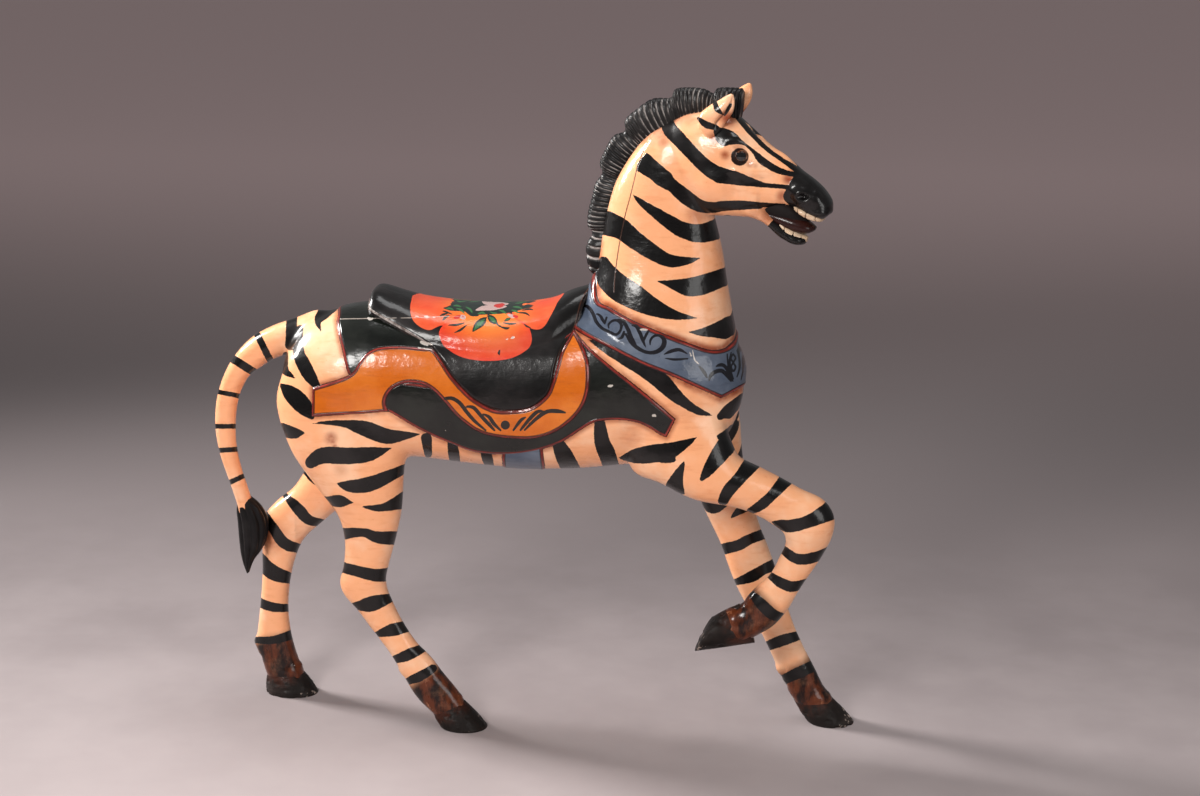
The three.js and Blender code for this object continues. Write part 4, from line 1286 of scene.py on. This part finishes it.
def coatMaterial():
    made, tree, shader = newMaterial("zebraCoat")
    look = coatLook
    # the cream darkens in the creases with grime and painted shade
    cream = painted(tree, look["cream"], field(tree, "hollow"), look["grimeAndShade"])
    brush = ramp(tree, cloud(tree, 22, 5, rough=0.65), 0.25, 0.6, 0.45, 1.0)
    colour = blendColour(tree, calc(tree, "MULTIPLY", field(tree, "blush"), brush), cream["Colour"], look["brown"])
    worn = cloud(tree, 26, 5, (1, 1, 0.35), 0.65)
    maroon = blendColour(tree, ramp(tree, worn, 0.40, 0.58), look["maroonDark"], look["maroon"])
    maroon = blendColour(tree, ramp(tree, worn, 0.60, 0.70), maroon, look["maroonWorn"])
    thin = ramp(tree, cloud(tree, 18, 5, rough=0.7), 0.25, 0.5, 0.90, 1.0)
    colour = blendColour(tree, calc(tree, "MULTIPLY", field(tree, "pastern"), thin), colour, maroon)
    mask = use(tree, paintEdge, Depth=field(tree, "stripe"), Ragged=look["ragged"])["Mask"]
    colour = blendColour(tree, mask, colour, painted(tree, look["black"])["Colour"])
    ring = calc(tree, "MULTIPLY_ADD", cloud(tree, 130, 2), 1.6, field(tree, "eyeGap"))
    colour = blendColour(tree, ramp(tree, ring, 10.0, 9.2), colour, look["eyeRing"])
    split = calc(tree, "MULTIPLY", ramp(tree, field(tree, "crack"), 0.75, 0.25),
                 ramp(tree, cloud(tree, 14, 3), 0.3, 0.5, 0.5, 1))
    colour = blendColour(tree, split, colour, look["crack"])
    chips = use(tree, paintChips, Amount=calc(tree, "MULTIPLY", field(tree, "pastern"), 0.10))["Mask"]
    colour = blendColour(tree, calc(tree, "MULTIPLY", chips, 0.8), colour, look["bare"])
    height = use(tree, brushMarks, Strength=1.0)["Height"]
    for depth, amount in ((mask, 0.16), (split, -0.9), (chips, -0.25)):
        height = calc(tree, "MULTIPLY_ADD", depth, amount, height)
    roughness = calc(tree, "MULTIPLY_ADD", chips, 0.3, cream["Roughness"])
    finishPaint(tree, shader, colour, roughness, height)
    return made


def rim(tree, depth, middle, half):
    # thin band at a given depth inside an edge
    gap = calc(tree, "ABSOLUTE", calc(tree, "SUBTRACT", depth, middle))
    return ramp(tree, gap, half + 0.3, half - 0.2)


beadLook = {     # round bead along an edge of the tack: pixels inside the outline, and colours
    "middle": 1.1, "half": 1.4, "maroon": (0.145, 0.016, 0.012, 1), "line": (0.012, 0.006, 0.005, 1),
    "glint": (0.42, 0.040, 0.025, 1)}
wornLook = {"split": (0.45, 0.38, 0.33, 1), "chip": (0.66, 0.60, 0.54, 1)}


def tackMaterial(name, parts):
    # parts: outline name, its paint, and whether a maroon bead runs round it
    made, tree, shader = newMaterial(name)
    hollow = field(tree, "hollow")
    colour, relief, roughness = None, None, None
    for key, paint, beaded in parts:
        # the hollows darken with grime and painted shade
        look = painted(tree, paint, hollow, 0.5)
        if colour is None:
            colour, roughness = look["Colour"], look["Roughness"]
        else:
            mask = use(tree, paintEdge, Depth=field(tree, key), Ragged=0.35)["Mask"]
            colour = blendColour(tree, mask, colour, look["Colour"])
            if relief:
                relief = calc(tree, "MULTIPLY", relief, calc(tree, "SUBTRACT", 1.0, mask))
        if beaded:
            depth = calc(tree, "MULTIPLY_ADD", calc(tree, "SUBTRACT", cloud(tree, 90, 3), 0.5), 0.5, field(tree, key))
            bead = rim(tree, depth, beadLook["middle"], beadLook["half"])
            colour = blendColour(tree, bead, colour, beadLook["maroon"])
            lines = calc(tree, "MAXIMUM", rim(tree, depth, -0.5, 0.45), rim(tree, depth, 2.8, 0.45))
            colour = blendColour(tree, calc(tree, "MULTIPLY", lines, 0.85), colour, beadLook["line"])
            glint = calc(tree, "MULTIPLY", rim(tree, depth, 1.0, 0.45), ramp(tree, cloud(tree, 40, 3), 0.42, 0.60))
            colour = blendColour(tree, calc(tree, "MULTIPLY", glint, 0.7), colour, beadLook["glint"])
            relief = calc(tree, "MULTIPLY_ADD", bead, 0.9, relief or 0.0)
            relief = calc(tree, "MULTIPLY_ADD", lines, -0.7, relief)
    height = use(tree, brushMarks, Strength=0.8)["Height"]
    if relief:
        height = calc(tree, "ADD", height, relief)
    return made, tree, shader, colour, height, roughness


def inked(tree, colour, name, tint, ragged=0.35):
    mask = use(tree, paintEdge, Depth=field(tree, name), Ragged=ragged)["Mask"]
    return blendColour(tree, mask, colour, tint)


def weathered(tree, colour, height):
    # hairline splits of the wood and flakes of lost paint
    split = calc(tree, "MULTIPLY", ramp(tree, field(tree, "crack"), 0.6, 0.2),
                 ramp(tree, cloud(tree, 30, 3), 0.35, 0.5))
    colour = blendColour(tree, calc(tree, "MULTIPLY", split, 0.8), colour, wornLook["split"])
    lost = use(tree, paintEdge, Depth=field(tree, "chip"), Ragged=1.2)["Mask"]
    lost = calc(tree, "MAXIMUM", lost, use(tree, paintChips, Amount=0.0)["Mask"])
    colour = blendColour(tree, calc(tree, "MULTIPLY", lost, 0.85), colour, wornLook["chip"])
    height = calc(tree, "MULTIPLY_ADD", split, -0.5, height)
    return colour, calc(tree, "MULTIPLY_ADD", lost, -0.3, height)


slatePaint = ((0.085, 0.108, 0.155, 1), (0.150, 0.180, 0.235, 1), (0.034, 0.042, 0.062, 1))
clothLook = {
    "black": ((0.004, 0.005, 0.004, 1), (0.011, 0.013, 0.010, 1), (0.002, 0.002, 0.002, 1)),
    "orange": ((0.62, 0.135, 0.007, 1), (0.72, 0.19, 0.018, 1), (0.38, 0.072, 0.005, 1)),
    "ink": (0.018, 0.013, 0.010, 1), "varnish": 0.7}
seatLook = {
    "black": ((0.005, 0.0045, 0.0045, 1), (0.018, 0.015, 0.015, 1), (0.002, 0.002, 0.002, 1)),
    "coral": ((0.70, 0.075, 0.026, 1), (0.78, 0.13, 0.045, 1), (0.55, 0.040, 0.016, 1)),
    "red": ((0.70, 0.042, 0.017, 1), (0.74, 0.095, 0.040, 1), (0.52, 0.030, 0.014, 1)),
    "heart": (0.80, 0.22, 0.03, 1), "rope": (0.50, 0.46, 0.43, 1), "edge": (0.10, 0.030, 0.014, 1), "varnish": 0.45,
    "strokes": {"wreath": (0.014, 0.022, 0.018, 1), "leaf": (0.035, 0.13, 0.045, 1), "bloom": (0.48, 0.33, 0.31, 1),
                "bud": (0.50, 0.030, 0.025, 1), "ink": (0.015, 0.012, 0.010, 1)}}
collarLook = {"scroll": (0.010, 0.010, 0.014, 1), "varnish": 0.6}
girthLook = {"varnish": 0.5}


def clothMaterial():
    look = clothLook
    made, tree, shader, colour, height, roughness = tackMaterial("saddleCloth", [
        ("cloth", look["black"], True), ("rear", look["black"], True), ("skirt", look["orange"], True)])
    colour, height = weathered(tree, inked(tree, colour, "ink", look["ink"]), height)
    finishPaint(tree, shader, colour, roughness, height, look["varnish"])
    return made


def seatMaterial():
    look = seatLook
    made, tree, shader, colour, height, roughness = tackMaterial("saddleSeat", [
        ("seat", look["black"], False), ("petalLeft", look["coral"], False),
        ("petalRight", look["coral"], False), ("petalBig", look["red"], False)])
    petals = calc(tree, "MAXIMUM", field(tree, "petalLeft"), field(tree, "petalRight"))
    petals = calc(tree, "MAXIMUM", petals, field(tree, "petalBig"))
    warm = calc(tree, "MULTIPLY", ramp(tree, petals, 0.5, 3.0), ramp(tree, field(tree, "heart"), 58, 14))
    colour = blendColour(tree, calc(tree, "MULTIPLY", warm, 0.85), colour, look["heart"])
    for name, tint in look["strokes"].items():
        colour = inked(tree, colour, name, tint, 0.5)
    rope = ramp(tree, field(tree, "rope"), 1.5, 0.8)
    worn = calc(tree, "MULTIPLY", rope, ramp(tree, cloud(tree, 75, 4, rough=0.7), 0.38, 0.55, 0.25, 1.0))
    colour = blendColour(tree, worn, colour, look["rope"])
    height = calc(tree, "MULTIPLY_ADD", rope, 1.0, height)
    edge = calc(tree, "MULTIPLY", rim(tree, field(tree, "seat"), 0.2, 0.5), 0.5)
    colour, height = weathered(tree, blendColour(tree, edge, colour, look["edge"]), height)
    finishPaint(tree, shader, colour, calc(tree, "ADD", roughness, 0.06), height, look["varnish"])
    return made


def collarMaterial():
    made, tree, shader, colour, height, roughness = tackMaterial("breastCollar", [("collar", slatePaint, True)])
    colour, height = weathered(tree, inked(tree, colour, "scroll", collarLook["scroll"], 0.5), height)
    finishPaint(tree, shader, colour, roughness, height, collarLook["varnish"])
    return made


def girthMaterial():
    made, tree, shader, colour, height, roughness = tackMaterial("girthStrap", [("girth", slatePaint, True)])
    finishPaint(tree, shader, colour, roughness, height, girthLook["varnish"])
    return made


hairLook = {
    "paint": ((0.005, 0.0045, 0.005, 1), (0.018, 0.016, 0.016, 1), (0.002, 0.002, 0.002, 1)),
    "ridge": (0.44, 0.40, 0.38, 1), "root": (0.16, 0.045, 0.02, 1), "varnish": 0.12}


def hairMaterial():
    made, tree, shader = newMaterial("carvedHair")
    look = painted(tree, hairLook["paint"])
    worn = ramp(tree, cloud(tree, 24, 4, rough=0.65), 0.42, 0.60, 0.06, 1.0)
    # pale groove lines: painted highlight mixed with worn paint
    colour = blendColour(tree, calc(tree, "MULTIPLY", field(tree, "glint"), worn), look["Colour"], hairLook["ridge"])
    brown = calc(tree, "MULTIPLY", field(tree, "root"), ramp(tree, cloud(tree, 50, 3), 0.4, 0.6))
    colour = blendColour(tree, brown, colour, hairLook["root"])
    height = use(tree, brushMarks, Strength=1.0)["Height"]
    finishPaint(tree, shader, colour, calc(tree, "ADD", look["Roughness"], 0.12), height, hairLook["varnish"])
    return made


hoofPaint = {
    "paint": ((0.011, 0.008, 0.007, 1), (0.040, 0.030, 0.027, 1), (0.004, 0.003, 0.003, 1)),
    "bare": (0.34, 0.27, 0.23, 1), "coronet": (0.060, 0.015, 0.007, 1), "varnish": 0.06}


def hoofMaterial():
    made, tree, shader = newMaterial("chippedHoof")
    look = painted(tree, hoofPaint["paint"])
    lost = use(tree, paintChips, Amount=field(tree, "edge"))["Mask"]
    colour = blendColour(tree, lost, look["Colour"], hoofPaint["bare"])
    height = calc(tree, "MULTIPLY_ADD", lost, -0.5, use(tree, brushMarks, Strength=1.8)["Height"])
    top = calc(tree, "MULTIPLY", field(tree, "coronet"), ramp(tree, cloud(tree, 34, 4, rough=0.7), 0.38, 0.6))
    colour = blendColour(tree, top, colour, hoofPaint["coronet"])
    roughness = calc(tree, "ADD", look["Roughness"], 0.25)
    finishPaint(tree, shader, colour, roughness, height, hoofPaint["varnish"], 0.0014)
    return made


# the mouth: paint, grime and painted shade in the hollows, added roughness, height of the brush marks and varnish
toothLook = {
    "paint": ((0.70, 0.49, 0.32, 1), (0.82, 0.66, 0.50, 1), (0.34, 0.15, 0.07, 1)),
    "grimeAndShade": 0.9, "dull": 0.0, "marks": 0.5, "varnish": 0.6}
tongueLook = {
    "paint": ((0.020, 0.005, 0.004, 1), (0.042, 0.009, 0.007, 1), (0.008, 0.002, 0.002, 1)),
    "grimeAndShade": 0.0, "dull": 0.0, "marks": 0.8, "varnish": 0.3}
throatLook = {
    "paint": ((0.006, 0.004, 0.004, 1), (0.014, 0.009, 0.008, 1), (0.003, 0.002, 0.002, 1)),
    "grimeAndShade": 0.0, "dull": 0.3, "marks": 0.8, "varnish": 0.0}


def mouthMaterial(name, look):
    made, tree, shader = newMaterial(name)
    paint = painted(tree, look["paint"], field(tree, "hollow") if look["grimeAndShade"] else 0.0, look["grimeAndShade"])
    roughness = calc(tree, "ADD", paint["Roughness"], look["dull"]) if look["dull"] else paint["Roughness"]
    height = use(tree, brushMarks, Strength=look["marks"])["Height"]
    finishPaint(tree, shader, paint["Colour"], roughness, height, look["varnish"])
    return made


eyeLook = {
    "irisDark": (0.030, 0.010, 0.004, 1), "irisLight": (0.13, 0.038, 0.013, 1), "pupil": (0.002, 0.002, 0.002, 1),
    "pupilEdge": (0.62, 0.74)}     # how far the glass faces outward there


def glassMaterial():
    # black pupil and a dark brown iris seen through clear glass
    made, tree, shader = newMaterial("glassEye")
    place = add(tree, "ShaderNodeNewGeometry").outputs["Normal"]
    outward = add(tree, "ShaderNodeSeparateXYZ", {0: place}).outputs[1]
    pupil = ramp(tree, calc(tree, "ABSOLUTE", outward), *eyeLook["pupilEdge"])
    iris = blendColour(tree, cloud(tree, 500, 3), eyeLook["irisDark"], eyeLook["irisLight"])
    tree.links.new(blendColour(tree, pupil, iris, eyeLook["pupil"]), shader.inputs["Base Color"])
    shader.inputs["Roughness"].default_value = 0.06
    shader.inputs["Coat Weight"].default_value = 1.0
    shader.inputs["Coat Roughness"].default_value = 0.02
    return made


def finishPiece(piece, material, node="zebra"):
    piece.data.materials.clear()
    piece.data.materials.append(material)
    piece.data.shade_smooth()
    setPoints(piece, np.clip(points(piece), cadBox[0], cadBox[1]))
    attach(piece, "root")
    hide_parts(node)


for piece, legs in ((body, True), (headPiece, False), (ears, False)):
    paintCoat(piece, legs)
for piece in (skirtPiece, seatPiece, collarPiece):
    paintTack(piece)
for piece in (*teeth, girthPiece):
    store(piece, "hollow", hollows(piece, 1))
print("paint laid on")
store(mane, "glint", np.append(maneGlint, [0, 0]))
store(mane, "root", np.append(maneRoot, [0, 0]))
store(hoovesPiece, "edge", hoofEdgeWear(points(hoovesPiece)))
store(hoovesPiece, "coronet", nearHoofTop(points(hoovesPiece), 0.060, 0.026))

zebraCoat, hair = coatMaterial(), hairMaterial()
toothPaint = mouthMaterial("paintedTeeth", toothLook)
for piece, material in (
        (body, zebraCoat), (headPiece, zebraCoat), (ears, zebraCoat), (seatPiece, seatMaterial()),
        (skirtPiece, clothMaterial()), (collarPiece, collarMaterial()), (girthPiece, girthMaterial()),
        (mane, hair), (tuft, hair), (hoovesPiece, hoofMaterial()),
        (tongue, mouthMaterial("paintedTongue", tongueLook)), (throat, mouthMaterial("paintedThroat", throatLook)),
        (teeth[0], toothPaint), (teeth[1], toothPaint)):
    finishPiece(piece, material)
glass = glassMaterial()
for name in ("right_eye", "left_eye"):
    node = bpy.data.objects[name]
    node.data.materials.clear()
    node.data.materials.append(glass)

# painted light on the floor: a bright pool near the front, painted shade in a dark middle band behind the animal,
# pale far back
floorLook = {
    "size": 30, "near": (0.50, 0.425, 0.425, 1), "middle": (0.22, 0.185, 0.188, 1), "far": (0.98, 0.74, 0.74, 1),
    "dust": (0.62, 0.54, 0.54, 1), "fade": (-1.6, 0.9), "rise": (2.5, 9.0)}     # metres behind the animal
half = floorLook["size"]
floor = makeMesh("floor", [(-half, -half, 0), (half, -half, 0), (half, half, 0), (-half, half, 0)], [(0, 1, 2, 3)])
floorMaterial, tree, shader = newMaterial("floorPaper")
depthways = add(tree, "ShaderNodeSeparateXYZ", {0: add(tree, "ShaderNodeTexCoord").outputs["Object"]}).outputs[1]
paperWithPaintedLight = blendColour(tree, ramp(tree, depthways, *floorLook["fade"]), floorLook["near"], floorLook["middle"])
paperWithPaintedLight = blendColour(tree, ramp(tree, depthways, *floorLook["rise"]), paperWithPaintedLight, floorLook["far"])
scuffs = ramp(tree, cloud(tree, 2.2, 4, rough=0.6), 0.3, 0.7, 0.0, 0.16)
dusty = calc(tree, "MULTIPLY", scuffs, ramp(tree, depthways, 2.0, 0.0))
tree.links.new(blendColour(tree, dusty, paperWithPaintedLight, floorLook["dust"]), shader.inputs["Base Color"])
shader.inputs["Roughness"].default_value = 0.75
floor.data.materials.append(floorMaterial)

# place, point aimed at, size, watts, tint and spread; a grid keeps the key off the floor behind
studio = {
    "key": ((-5.0, 1.4, 3.5), (0, 0, 0.9), (1.1, 1.7), 95, (1, 0.98, 0.96), 75),
    "front": ((-1.9, -4.2, 3.3), (0, 0, 0.7), (1.4, 1.4), 190, (1, 0.97, 0.94)),
    "fill": ((3.6, -3.4, 1.8), (0.2, 0, 0.7), (2.0, 2.0), 50, (1, 0.98, 0.96)),
    "top": ((0.2, 0.4, 4.2), (0, 0, 0.6), (2.2, 1.2), 45, (1, 1, 1))}
for name, values in studio.items():
    makeLight(name, *values)
bpy.context.scene.view_settings.view_transform = "Standard"
world = bpy.data.worlds.new("studio")
world.use_nodes = True
world.node_tree.nodes["Background"].inputs[0].default_value = (0.75, 0.74, 0.74, 1)
world.node_tree.nodes["Background"].inputs[1].default_value = 0.22
bpy.context.scene.world = world
print("studio lit")
makeCamera()
